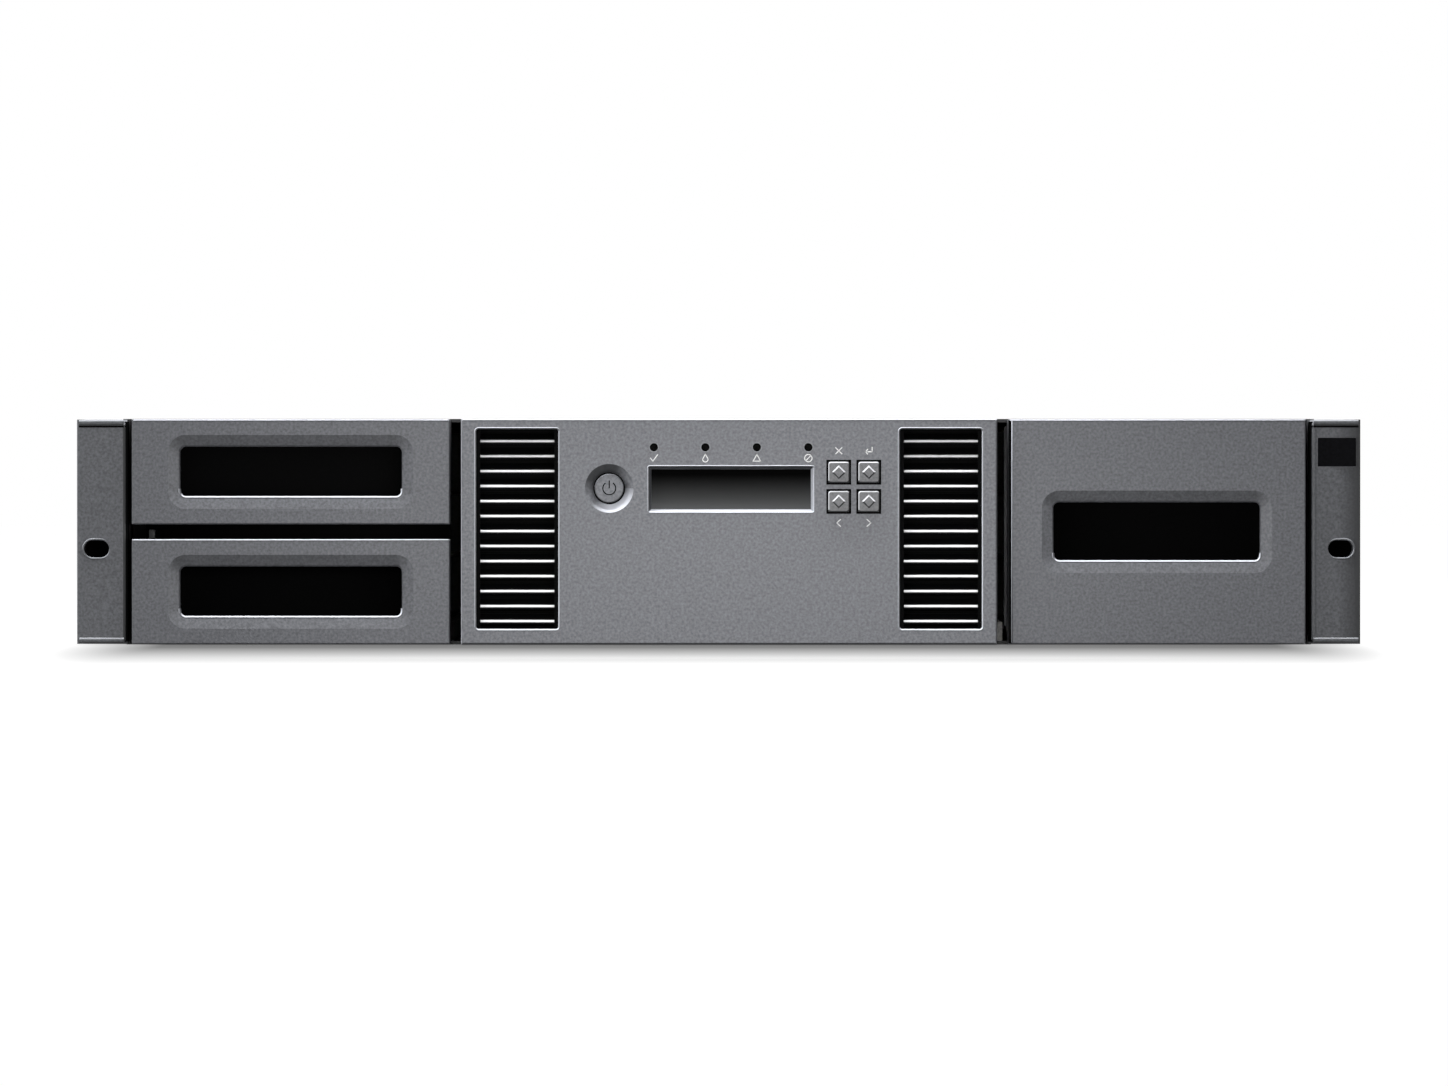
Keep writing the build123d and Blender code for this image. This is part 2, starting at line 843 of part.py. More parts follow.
def slot_block(node, side, inner, depth, start, levels):
    """One column of cells, open towards the aisle."""
    top = first_floor + levels * row_pitch - cell_shelf + cell_base
    outer = inner + depth + cell_back_wall
    with BuildPart() as cells:
        block(mirrored(inner, outer, side), (start, start + column_pitch), (block_bottom, top))
        with BuildSketch(Plane.YZ.offset(side * inner)):
            with Locations((start + column_pitch / 2, cells_middle(levels))):
                with GridLocations(0, row_pitch, 1, levels):
                    Rectangle(cell_width, cell_height)
        extrude(amount=side * depth, mode=Mode.SUBTRACT)
    save(cells, node)


def magazine_tray(node, side, inner, depth, first_levels):
    """Tray welded from plates: a floor, an outer wall, a front wall and a low tail wall."""
    wall = inner + depth + cell_back_wall
    front_top = first_floor + first_levels * row_pitch - cell_shelf + cell_base
    tray_ys = (panel_back, magazine_end)
    plates = []
    for xs, ys, zs in (
        ((inner, wall + tray_sheet), tray_ys, (tray_bottom, block_bottom)),
        ((wall, wall + tray_sheet), tray_ys, (block_bottom, block_top)),
        ((inner, wall), (blocks_start - tray_sheet, blocks_start), (block_bottom, front_top)),
        ((inner, wall), (magazine_end - tray_sheet, magazine_end), (block_bottom, block_top / 2)),
    ):
        with BuildPart() as plate:
            block(mirrored(*xs, side), ys, zs)
        plates.append(plate)
    save_joined(plates, node)


def grip_panel(node, xs, zs, grip_width, grip_height):
    """Moulded front panel: a shell with a soft-edged grip opening."""
    place = (sum(xs) / 2, sum(zs) / 2)
    with BuildPart() as panel:
        with BuildSketch(facing(panel_front)):
            with Locations(place):
                Rectangle(xs[1] - xs[0], zs[1] - zs[0])
        extrude(amount=-panel_depth)
        with BuildSketch(facing(panel_front + panel_wall)):
            with Locations(place):
                Rectangle(xs[1] - xs[0] - 2 * panel_shell, zs[1] - zs[0] - 2 * panel_shell)
        extrude(amount=-(panel_depth - panel_wall), mode=Mode.SUBTRACT)
        fillet(panel.faces().sort_by(Axis.Y)[0].edges(), panel_edge)
        with BuildSketch(facing(panel_front)):
            with Locations(place):
                RectangleRounded(grip_width, grip_height, grip_corner)
        extrude(amount=-panel_wall, mode=Mode.SUBTRACT)
        face = panel.faces().sort_by(Axis.Y)[0]
        chamfer(face.inner_wires()[0].edges(), length=grip_dish, length2=grip_sink, reference=face)
        lip = [
            e
            for e in panel.edges()
            if abs(e.center().Y - panel_front - grip_sink) < grip_sink / 10
            and abs(e.center().X - place[0]) < grip_width / 2 + grip_sink
        ]
        fillet(lip, grip_lip)
    save(panel, node)


def grip_pocket(node, xs, zs, grip_width, grip_height, back):
    """Black pocket behind a grip opening, wider inside than the opening."""
    place = (sum(xs) / 2, sum(zs) / 2)
    inside_width = grip_width + 2 * pocket_undercut
    inside_height = grip_height + 2 * pocket_undercut
    with BuildPart() as pocket:
        with BuildSketch(facing(panel_front + panel_wall)):
            with Locations(place):
                Rectangle(inside_width + 2 * pocket_wall, inside_height + 2 * pocket_wall)
        extrude(amount=-(back - panel_front - panel_wall))
        with BuildSketch(facing(panel_front + panel_wall)):
            with Locations(place):
                Rectangle(inside_width, inside_height)
        extrude(amount=-(back - panel_front - panel_wall - pocket_wall), mode=Mode.SUBTRACT)
    save(pocket, node)


for side, name, inner, depth, first_levels in (
    (-1, "left", left_inner, left_depth, rows - 1),
    (1, "right", right_inner, right_depth, rows),
):
    magazine_tray(f"{name}_magazine_tray", side, inner, depth, first_levels)
    for column in range(columns):
        slot_block(
            f"{name}_cell_block_{column + 1}",
            side,
            inner,
            depth,
            blocks_start + column * column_pitch,
            rows if column else first_levels,
        )

lower_panel_z = (panel_bottom, panel_bottom + half_panel)
upper_panel_z = (panel_top - half_panel, panel_top)
right_panel_z = (panel_bottom, panel_top)
left_grip = (left_panel[1] - left_panel[0] - 2 * left_grip_margin, left_grip_height)
right_grip = (right_panel[1] - right_panel[0] - 2 * right_grip_margin, right_grip_height)
magazine_pocket_back = blocks_start - tray_sheet
for name, xs, zs, grip, back in (
    ("left_magazine", left_panel, lower_panel_z, left_grip, magazine_pocket_back),
    ("mail_slot", left_panel, upper_panel_z, left_grip, panel_back),
    ("right_magazine", right_panel, right_panel_z, right_grip, magazine_pocket_back),
):
    grip_panel(f"{name}_panel", xs, zs, *grip)
    grip_pocket(f"{name}_grip", xs, zs, *grip, back)

# Mail slot: a short tray with one cell, on the roof of the first left column
mail_floor = first_floor + (rows - 1) * row_pitch - cell_shelf + cell_base + glide_gap
mail_wall = left_inner + left_depth + cell_back_wall - glide_gap
mail_back = blocks_start + column_pitch - glide_gap
mail_cell_back = mail_back - cell_side_wall
mail_cell_front = mail_cell_back - cell_width
mail_grip_back = mail_cell_front - cell_side_wall
with BuildPart() as mail_slot_tray:
    block((-mail_wall, -left_inner), (panel_back, mail_back), (mail_floor, block_top))
    block(
        (-mail_wall + cell_back_wall, -left_inner),
        (mail_cell_front, mail_cell_back),
        (mail_floor + cell_base, block_top),
        mode=Mode.SUBTRACT,
    )
    block(
        (-mail_wall + cell_back_wall, -left_inner),
        (panel_back, mail_grip_back),
        (mail_floor + cell_base, block_top),
        mode=Mode.SUBTRACT,
    )
save(mail_slot_tray, "mail_slot_tray")

# Drive bay: shelf over the drive, with a side wall on each side
with BuildPart() as bay_shelf:
    block(
        (drive_x[0] - bay_side_gap - sheet, drive_x[1] + bay_side_gap + sheet),
        (drive_front + shelf_setback, rear_ys[0]),
        (drive_z[1] + bay_play, drive_z[1] + bay_play + sheet),
    )
    for side_x in (
        (drive_x[0] - bay_side_gap - sheet, drive_x[0] - bay_side_gap),
        (drive_x[1] + bay_side_gap, drive_x[1] + bay_side_gap + sheet),
    ):
        block(side_x, (drive_front + shelf_setback, rear_ys[0]), (sheet, drive_z[1] + bay_play))
save(bay_shelf, "bay_shelf")

# Robot track: a toothed rail on the right and a plain one on the left
rail_ys = (chassis_front + rail_front_gap, drive_front - rail_rear_gap)
rail_zs = (sheet, sheet + rail_height)
rail_outer = aisle_half - rail_margin
rail_inner = rail_outer - rail_back
pitch_x = aisle_x + rail_inner - dedendum * gear_module
tooth_pitch = pi * gear_module
rack_teeth = int((rail_ys[1] - rail_ys[0]) / tooth_pitch) - 1
robot_y = blocks_start + column_pitch * (home_column - 0.5)
pinion_radius = gear_module * pinion_teeth / 2
tip_radius = pinion_radius + gear_module
bridge_half = tip_radius + bridge_room + bridge_leg
pinion_y = robot_y + post_spread_y / 2 + post_radius + bush_wall + bridge_half + bridge_room
slant = tan(radians(pressure_angle)) * gear_module
with BuildPart() as robot_rails:
    block((aisle_x - rail_outer, aisle_x - rail_inner), rail_ys, rail_zs)
    # Tooth tips point to the left; one gap of the rack faces the pinion at home
    first_gap = pinion_y - tooth_pitch * int((pinion_y - rail_ys[0]) / tooth_pitch - 0.5)
    with BuildSketch(Plane.XY.offset(rail_zs[0])):
        with BuildLine():
            outline = [(aisle_x + rail_outer, rail_ys[0]), (aisle_x + rail_inner, rail_ys[0])]
            for n in range(rack_teeth - 1):
                middle = first_gap + (n + 0.5) * tooth_pitch
                for depth_x, half in (
                    (rail_inner + aisle_x, tooth_pitch / 4 + dedendum * slant),
                    (pitch_x - gear_module, tooth_pitch / 4 - slant),
                ):
                    outline.append((depth_x, middle - half))
                for depth_x, half in (
                    (pitch_x - gear_module, tooth_pitch / 4 - slant),
                    (rail_inner + aisle_x, tooth_pitch / 4 + dedendum * slant),
                ):
                    outline.append((depth_x, middle + half))
            outline += [(aisle_x + rail_inner, rail_ys[1]), (aisle_x + rail_outer, rail_ys[1])]
            Polyline(*outline, close=True)
        make_face()
    extrude(amount=rail_height)
save(robot_rails, "robot_rails")

# Travel pinion with involute teeth, in mesh with the rack
pinion_x = pitch_x - pinion_radius - mesh_play
sled_z = (sheet + robot_gap, sheet + robot_gap + robot_plate)
pinion_z = (sled_z[1] + gear_lift, sled_z[1] + gear_lift + gear_width)
base_radius = pinion_radius * cos(radians(pressure_angle))
root_radius = pinion_radius - dedendum * gear_module


def involute(radius):
    """Turn, in radians, of the tooth flank at a radius, from where it leaves the base circle."""
    spread = sqrt(max((radius / base_radius) ** 2 - 1, 0))
    return spread - atan(spread)


pitch_turn = pi / (2 * pinion_teeth) - tooth_relief
flank_radii = [root_radius - tooth_sink]
flank_radii += [base_radius + (tip_radius - base_radius) * n / 3 for n in range(4)]
with BuildPart() as travel_pinion:
    with BuildSketch(Plane.XY.offset(pinion_z[0])):
        with Locations((pinion_x, pinion_y)):
            Circle(root_radius)
        for n in range(pinion_teeth):
            middle = 2 * pi * n / pinion_teeth
            flank = []
            for radius in flank_radii:
                half = pitch_turn + involute(pinion_radius) - involute(max(radius, base_radius))
                flank.append((radius, half))
            with BuildLine():
                right_side = [
                    (pinion_x + r * cos(middle - h), pinion_y + r * sin(middle - h)) for r, h in flank
                ]
                left_side = [
                    (pinion_x + r * cos(middle + h), pinion_y + r * sin(middle + h))
                    for r, h in reversed(flank)
                ]
                Polyline(*right_side, *left_side, close=True)
            make_face()
        with Locations((pinion_x, pinion_y)):
            Circle(motor_shaft_radius, mode=Mode.SUBTRACT)
    extrude(amount=gear_width)
save(travel_pinion, "travel_pinion")

# Sled: floor plate, four shoes on the rails and the travel motor's bracket
bracket_z = (pinion_z[1] + gear_headroom, pinion_z[1] + gear_headroom + robot_plate)
sled_half = rail_inner - (1 + dedendum) * gear_module - 2 * robot_gap
post_spread_x = 2 * (sled_half - post_inset)
sled_length = post_spread_y + 2 * sled_end
sled_ys = (robot_y - sled_length / 2, robot_y + sled_length / 2)
post_places = [
    (aisle_x + i * post_spread_x / 2, robot_y + k * post_spread_y / 2)
    for i, k in ((-1, -1), (1, 1), (1, -1), (-1, 1))
]
bridge_ys = (pinion_y - bridge_half, pinion_y + bridge_half)
bridge_xs = (pinion_x - travel_motor_radius, aisle_x + sled_half)
with BuildPart() as sled_floor:
    block((aisle_x - sled_half, aisle_x + sled_half), sled_ys, sled_z)
    block(bridge_xs, bridge_ys, sled_z)
    with BuildSketch(Plane.XY.offset(sled_z[0])):
        with Locations((pinion_x, pinion_y)):
            Circle(motor_shaft_radius + running_gap)
        with Locations(*post_places[:2]):
            Circle(post_radius + running_gap)
        # Round lightening hole under the lift platform's pivot
        with Locations((aisle_x, robot_y)):
            Circle(lightening_radius)
    extrude(amount=robot_plate, mode=Mode.SUBTRACT)
# Bridge over the pinion that the travel motor stands on
with BuildPart() as motor_bridge:
    block(bridge_xs, bridge_ys, (sled_z[1], bracket_z[1]))
    block(
        (bridge_xs[0] - bridge_room, aisle_x + rail_outer),
        (bridge_ys[0] + bridge_leg, bridge_ys[1] - bridge_leg),
        (sled_z[1], bracket_z[0]),
        mode=Mode.SUBTRACT,
    )
    with BuildSketch(Plane.XY.offset(bracket_z[0])):
        with Locations((pinion_x, pinion_y)):
            Circle(motor_shaft_radius + running_gap)
    extrude(amount=robot_plate, mode=Mode.SUBTRACT)
sled_pieces = [sled_floor, motor_bridge]
for side in (-1, 1):
    for end in (-1, 1):
        shoe_ys = mirrored(sled_length / 2 - shoe_length, sled_length / 2, end)
        shoe_ys = (robot_y + shoe_ys[0], robot_y + shoe_ys[1])
        web = mirrored(sled_half - shoe_web, sled_half, side)
        pad = mirrored(sled_half - shoe_web, rail_outer, side)
        with BuildPart() as shoe:
            block((aisle_x + web[0], aisle_x + web[1]), shoe_ys, (sled_z[1], rail_zs[1]))
            block(
                (aisle_x + pad[0], aisle_x + pad[1]),
                shoe_ys,
                (rail_zs[1], rail_zs[1] + robot_plate),
            )
        sled_pieces.append(shoe)
save_joined(sled_pieces, "robot_sled")

# Lead screws on two opposite corners, each under its own flat motor
crossbar_z = (
    cover_bottom - crossbar_headroom - crossbar,
    cover_bottom - crossbar_headroom,
)
lift_motor_z = (crossbar_z[0] - lift_motor_height, crossbar_z[0])
for node, place in zip(("left_lead_screw", "right_lead_screw"), post_places):
    with BuildPart() as lead_screw:
        with BuildSketch(Plane.XY.offset(sled_z[0])):
            with Locations(place):
                Circle(post_radius)
        extrude(amount=lift_motor_z[0] - sled_z[0])
    save(lead_screw, node)

with BuildPart() as robot_motors:
    with BuildSketch(Plane.XY.offset(lift_motor_z[0])):
        with Locations(*post_places[:2]):
            Circle(lift_motor_radius)
    extrude(amount=lift_motor_height)
    with BuildSketch(Plane.XY.offset(bracket_z[1])):
        with Locations((pinion_x, pinion_y)):
            Circle(travel_motor_radius)
    extrude(amount=travel_motor_height)
    chamfer(robot_motors.edges().filter_by(GeomType.CIRCLE), motor_chamfer)
    with BuildSketch(Plane.XY.offset(pinion_z[0])):
        with Locations((pinion_x, pinion_y)):
            Circle(motor_shaft_radius - running_gap)
    extrude(amount=bracket_z[1] - pinion_z[0])
save(robot_motors, "robot_motors")

# Plain posts on the other two corners, each with the crossbar it carries
with BuildPart() as lift_frame:
    for place in post_places[2:]:
        with BuildSketch(Plane.XY.offset(sled_z[1])):
            with Locations(place):
                Circle(post_radius)
        extrude(amount=crossbar_z[0] - sled_z[1])
        with BuildSketch(Plane.XY.offset(crossbar_z[0])):
            with Locations((aisle_x, place[1])):
                SlotOverall(post_spread_x + crossbar_width, crossbar_width)
        extrude(amount=crossbar)
save(lift_frame, "lift_frame")

# Lift platform: round plate with four arms and a bush on each post
lift_z = (sled_z[1] + robot_gap, sled_z[1] + robot_gap + lift_plate)
with BuildPart() as lift_disc:
    with BuildSketch(Plane.XY.offset(lift_z[0])):
        with Locations((aisle_x, robot_y)):
            Circle(platform_radius)
            spread = sqrt(post_spread_x**2 + post_spread_y**2)
            lean = degrees(atan(post_spread_y / post_spread_x))
            for turn in (-lean, lean):
                Rectangle(spread, 2 * post_radius + 2 * bush_wall, rotation=turn)
        with Locations(*post_places):
            Circle(post_radius + bush_wall)
            Circle(post_radius + running_gap, mode=Mode.SUBTRACT)
        with Locations((aisle_x, robot_y)):
            Circle(pivot_radius + running_gap, mode=Mode.SUBTRACT)
    extrude(amount=lift_plate)
lift_pieces = [lift_disc]
for place in post_places:
    with BuildPart() as bush:
        with BuildSketch(Plane.XY.offset(lift_z[1])):
            with Locations(place):
                Circle(post_radius + bush_wall)
                Circle(post_radius + running_gap, mode=Mode.SUBTRACT)
        extrude(amount=bush_height - lift_plate)
    lift_pieces.append(bush)
save_joined(lift_pieces, "lift_platform")

# Turning carriage: round plate under a cage as wide as a cartridge
plate_z = (first_floor - carriage_plate, first_floor)
cage_inner = cartridge_width / 2 + cage_side_room
cage_outer = cage_inner + carriage_wall
cage_reach = sqrt(turn_radius**2 - cage_outer**2)
cage_top = first_floor + cartridge_height + cage_headroom + carriage_roof
stage_back = stage_ahead - stage_length
with BuildPart() as cartridge_carriage:
    with BuildSketch(Plane.XY.offset(lift_z[1])):
        with Locations((aisle_x, robot_y)):
            Circle(hub_radius)
    extrude(amount=plate_z[0] - lift_z[1])
    with BuildSketch(Plane.XY.offset(lift_z[0])):
        with Locations((aisle_x, robot_y)):
            Circle(pivot_radius)
    extrude(amount=plate_z[0] - lift_z[0])
    with BuildSketch(Plane.XY.offset(plate_z[0])):
        with Locations((aisle_x, robot_y)):
            Circle(turn_radius)
            Rectangle(2 * cage_outer, 2 * turn_radius, mode=Mode.INTERSECT)
    extrude(amount=carriage_plate)
    block(
        (aisle_x - cage_outer, aisle_x + cage_outer),
        (robot_y - cage_reach, robot_y + cage_reach),
        (plate_z[0], cage_top),
    )
    block(
        (aisle_x - cage_inner, aisle_x + cage_inner),
        (robot_y - cage_reach, robot_y + cage_reach),
        (plate_z[1], cage_top - carriage_roof),
        mode=Mode.SUBTRACT,
    )
    # Window in the roof, and the channel in the floor for the gripper's stage
    with BuildSketch(Plane.XY.offset(cage_top - carriage_roof)):
        with Locations((aisle_x, robot_y)):
            RectangleRounded(
                2 * (cage_inner - roof_margin), 2 * (cage_reach - roof_margin), roof_corner
            )
    extrude(amount=carriage_roof, mode=Mode.SUBTRACT)
    block(
        (aisle_x - stage_width / 2 - robot_gap, aisle_x + stage_width / 2 + robot_gap),
        (robot_y - turn_radius, robot_y + turn_radius),
        (plate_z[1] - stage_thickness, plate_z[1]),
        mode=Mode.SUBTRACT,
    )
save(cartridge_carriage, "cartridge_carriage")

stage_z = (plate_z[1] - stage_thickness, plate_z[1] + stage_proud)
with BuildPart() as gripper_stage:
    block(
        (aisle_x - stage_width / 2, aisle_x + stage_width / 2),
        (robot_y + stage_back, robot_y + stage_back + stage_length),
        stage_z,
    )
    chamfer(gripper_stage.edges().filter_by(Axis.Z), stage_corner)
save(gripper_stage, "gripper_stage")

gripper_ys = (robot_y + stage_back, robot_y + stage_back + gripper_length)
with BuildPart() as cartridge_gripper:
    with BuildSketch(Plane.XY.offset(stage_z[1])):
        with Locations((aisle_x, sum(gripper_ys) / 2)):
            RectangleRounded(gripper_width, gripper_length, gripper_corner)
    extrude(amount=gripper_height)
    finger_x = gripper_width / 2 - finger_inset
    finger_end = gripper_ys[1] + finger_length
    finger_z = (stage_z[1] + finger_lift, stage_z[1] + finger_lift + finger_height)
    for side in (-1, 1):
        reach = mirrored(finger_x, finger_x + finger_thickness, side)
        block(
            (aisle_x + reach[0], aisle_x + reach[1]),
            (gripper_ys[1] - finger_root, finger_end),
            finger_z,
        )
        hook = mirrored(finger_x, finger_x + hook_size, side)
        block(
            (aisle_x + hook[0], aisle_x + hook[1]),
            (finger_end - hook_size, finger_end),
            finger_z,
        )
save(cartridge_gripper, "cartridge_gripper")

# Tape drive with its loading mouth, in line with the lowest row of cells
mouth_xs = (aisle_x - cell_width / 2, aisle_x + cell_width / 2)
mouth_zs = (first_floor - drive_mouth_drop, first_floor + cell_height)
carrier_z = (drive_z[0], drive_z[0] + sheet)
drive_body_z = (carrier_z[1], drive_z[1])
drive_ys = (drive_front, chassis_rear - drive_tail)
with BuildPart() as tape_drive:
    block((drive_x[0] + sheet, drive_x[1] - sheet), drive_ys, drive_body_z)
    chamfer(tape_drive.edges().filter_by(Axis.Y), drive_chamfer)
    with BuildSketch(facing(drive_front)):
        with Locations((aisle_x, sum(mouth_zs) / 2)):
            Rectangle(
                cell_width + 2 * drive_mouth_lip, cell_height + 2 * drive_mouth_flare
            )
    with BuildSketch(facing(drive_front + drive_mouth_lip)):
        with Locations((aisle_x, sum(mouth_zs) / 2)):
            Rectangle(cell_width, cell_height)
    loft(mode=Mode.SUBTRACT)
    block(
        mouth_xs, (drive_front, drive_front + drive_mouth_depth), mouth_zs, mode=Mode.SUBTRACT
    )
    # Shallow recesses pressed into the lid
    with BuildSketch(Plane.XY.offset(drive_body_z[1])):
        with Locations((aisle_x, sum(drive_ys) / 2)):
            with GridLocations(recess_pitch, 0, recess_count, 1):
                SlotOverall(drive_ys[1] - drive_ys[0] - 2 * recess_margin, recess_width, rotation=90)
    extrude(amount=-recess_depth, mode=Mode.SUBTRACT)
save(tape_drive, "tape_drive")

# Drive carrier: tray, rear plate with vents and ports, and a loop handle
plate_ys = (chassis_rear, chassis_rear + sheet)
plate_xs = (drive_x[0] - carrier_flange, drive_x[1] + carrier_flange)
plate_zs = (drive_z[0] - carrier_lap_down, drive_z[1] + carrier_lap_up)
plate_middle = sum(plate_zs) / 2
carrier_ys = (drive_front + carrier_setback, chassis_rear)
handle_xs = (
    aisle_x + handle_shift - handle_width / 2,
    aisle_x + handle_shift + handle_width / 2,
)
handle_y = overall_depth / 2 - handle_rod
handle_z = plate_zs[0] + handle_rise
with BuildPart() as drive_carrier:
    block(drive_x, carrier_ys, carrier_z)
    for side_xs in ((drive_x[0], drive_x[0] + sheet), (drive_x[1] - sheet, drive_x[1])):
        block(side_xs, carrier_ys, (carrier_z[0], drive_z[1] - carrier_side_drop))
    block(plate_xs, plate_ys, plate_zs)
    with BuildSketch(facing(plate_ys[0])):
        with Locations((aisle_x - carrier_vent_x, plate_middle)):
            with GridLocations(
                carrier_vent_pitch, carrier_vent_pitch, carrier_vent_columns, carrier_vent_rows
            ):
                RegularPolygon(carrier_vent_radius, 6)
        with Locations((aisle_x + carrier_port_x, plate_middle + carrier_port_rise)):
            with GridLocations(carrier_port_pitch, 0, 2, 1):
                RectangleRounded(carrier_port_width, carrier_port_height, carrier_port_corner)
    extrude(amount=-sheet, mode=Mode.SUBTRACT)
    # Loop handle bent from round wire
    with BuildLine() as handle_path:
        FilletPolyline(
            (handle_xs[0], plate_ys[0], handle_z),
            (handle_xs[0], handle_y, handle_z),
            (handle_xs[1], handle_y, handle_z),
            (handle_xs[1], plate_ys[0], handle_z),
            radius=handle_bend,
        )
    with BuildSketch(facing(plate_ys[0])):
        with Locations((handle_xs[0], handle_z)):
            Circle(handle_rod)
    sweep(path=handle_path.wires()[0])
    with BuildSketch(facing(plate_ys[0])):
        with Locations(*screw_places):
            Circle(thumbscrew_shank + thumbscrew_play)
    extrude(amount=-sheet, mode=Mode.SUBTRACT)
save(drive_carrier, "drive_carrier")

with BuildPart() as drive_thumbscrews:
    for place in screw_places:
        with BuildSketch(facing(plate_ys[1])):
            with Locations(place):
                Circle(thumbscrew_radius)
        extrude(amount=-thumbscrew_reach)
        with BuildSketch(facing(rear_ys[0] - thumbscrew_tip)):
            with Locations(place):
                Circle(thumbscrew_shank)
        extrude(amount=-(plate_ys[1] - rear_ys[0] + thumbscrew_tip))
    knob_rims = drive_thumbscrews.edges().filter_by(GeomType.CIRCLE).group_by(Axis.Y)[-1]
    chamfer(knob_rims, thumbscrew_chamfer)
save(drive_thumbscrews, "drive_thumbscrews")

# Power supply with a field of hexagonal vents, and the mains inlet in its rear face
supply_ys = (rear_ys[0] - supply_length, rear_ys[0])
inlet_place = (supply_x[0] + inlet_inset, sum(supply_z) / 2)
with BuildPart() as power_supply:
    block(supply_x, supply_ys, supply_z)
    chamfer(power_supply.edges().filter_by(Axis.Y), supply_chamfer)
    with BuildSketch(facing(supply_ys[1])):
        with Locations(inlet_place):
            Rectangle(inlet_width, inlet_height)
    extrude(amount=inlet_depth, mode=Mode.SUBTRACT)
    with BuildSketch(facing(supply_ys[1])):
        with Locations((supply_x[1] - supply_vent_inset, sum(supply_z) / 2)):
            with GridLocations(
                supply_vent_pitch, supply_vent_pitch, supply_vent_columns, supply_vent_rows
            ):
                RegularPolygon(supply_vent_radius, 6)
    extrude(amount=supply_vent_depth, mode=Mode.SUBTRACT)
save(power_supply, "power_supply")

with BuildPart() as power_inlet:
    with BuildSketch(facing(rear_ys[1])):
        with Locations(inlet_place):
            RectangleRounded(
                inlet_width + 2 * inlet_flange, inlet_height + 2 * inlet_flange, inlet_flange
            )
    extrude(amount=sheet)
    with BuildSketch(facing(rear_ys[0])):
        with Locations(inlet_place):
            Rectangle(inlet_width, inlet_height)
    extrude(amount=inlet_depth)
    with BuildSketch(facing(rear_ys[1])):
        with Locations(inlet_place):
            Rectangle(inlet_width - 2 * inlet_wall_x, inlet_height - 2 * inlet_wall_z)
    extrude(amount=inlet_depth - inlet_floor, mode=Mode.SUBTRACT)
    with BuildSketch(facing(rear_ys[0] - inlet_depth + inlet_pin_root)):
        with Locations((inlet_place[0], inlet_place[1] - inlet_pin_drop)):
            with GridLocations(inlet_pin_pitch, 0, 3, 1):
                Rectangle(inlet_pin_width, inlet_pin_height)
    extrude(amount=-inlet_pin_length)
save(power_inlet, "power_inlet")

# Rear fan: square frame with a strut plate, and its bladed rotor
fan_ys = (rear_ys[0] - fan_depth, rear_ys[0])
with BuildPart() as fan_frame:
    with BuildSketch(facing(fan_ys[0])):
        with Locations((fan_x, fan_z)):
            RectangleRounded(fan_size, fan_size, fan_corner)
            Circle(fan_bore_radius, mode=Mode.SUBTRACT)
        with Locations((fan_x, fan_z)):
            screw_spacing = fan_size - 2 * fan_screw_inset
            with GridLocations(screw_spacing, screw_spacing, 2, 2):
                Circle(fan_screw_radius, mode=Mode.SUBTRACT)
    extrude(amount=-fan_depth)
    with BuildSketch(facing(fan_ys[0])):
        with Locations((fan_x, fan_z)):
            Circle(fan_hub_radius)
            for turn in fan_strut_turns:
                Rectangle(
                    2 * (fan_bore_radius + fan_strut_lap), fan_strut_width, rotation=turn
                )
    extrude(amount=-fan_strut_depth)
    with BuildSketch(facing(fan_ys[0] + fan_strut_depth)):
        with Locations((fan_x, fan_z)):
            Circle(motor_shaft_radius)
    extrude(amount=-fan_shaft_length)
save(fan_frame, "fan_frame")

rotor_ys = (fan_ys[0] + fan_strut_depth + rotor_front_gap, fan_ys[1] - rotor_rear_gap)
with BuildPart() as fan_rotor:
    with BuildSketch(facing(rotor_ys[0])):
        with Locations((fan_x, fan_z)):
            Circle(fan_hub_radius)
    extrude(amount=-(rotor_ys[1] - rotor_ys[0]))
    fillet(fan_rotor.faces().sort_by(Axis.Y)[-1].edges(), rotor_edge)
    for n in range(fan_blades):
        turn = 2 * pi * n / fan_blades
        root = Plane(
            origin=(fan_x, sum(rotor_ys) / 2, fan_z),
            x_dir=(0, 1, 0),
            z_dir=(cos(turn), 0, sin(turn)),
        )
        with BuildSketch(root):
            Rectangle(fan_blade_chord, fan_blade_thickness, rotation=fan_blade_pitch)
        extrude(amount=fan_bore_radius - fan_tip_gap - fan_blade_corner)
    with BuildSketch(facing(rotor_ys[0])):
        with Locations((fan_x, fan_z)):
            Circle(motor_shaft_radius + running_gap)
    extrude(amount=-fan_shaft_length, mode=Mode.SUBTRACT)
save(fan_rotor, "fan_rotor")

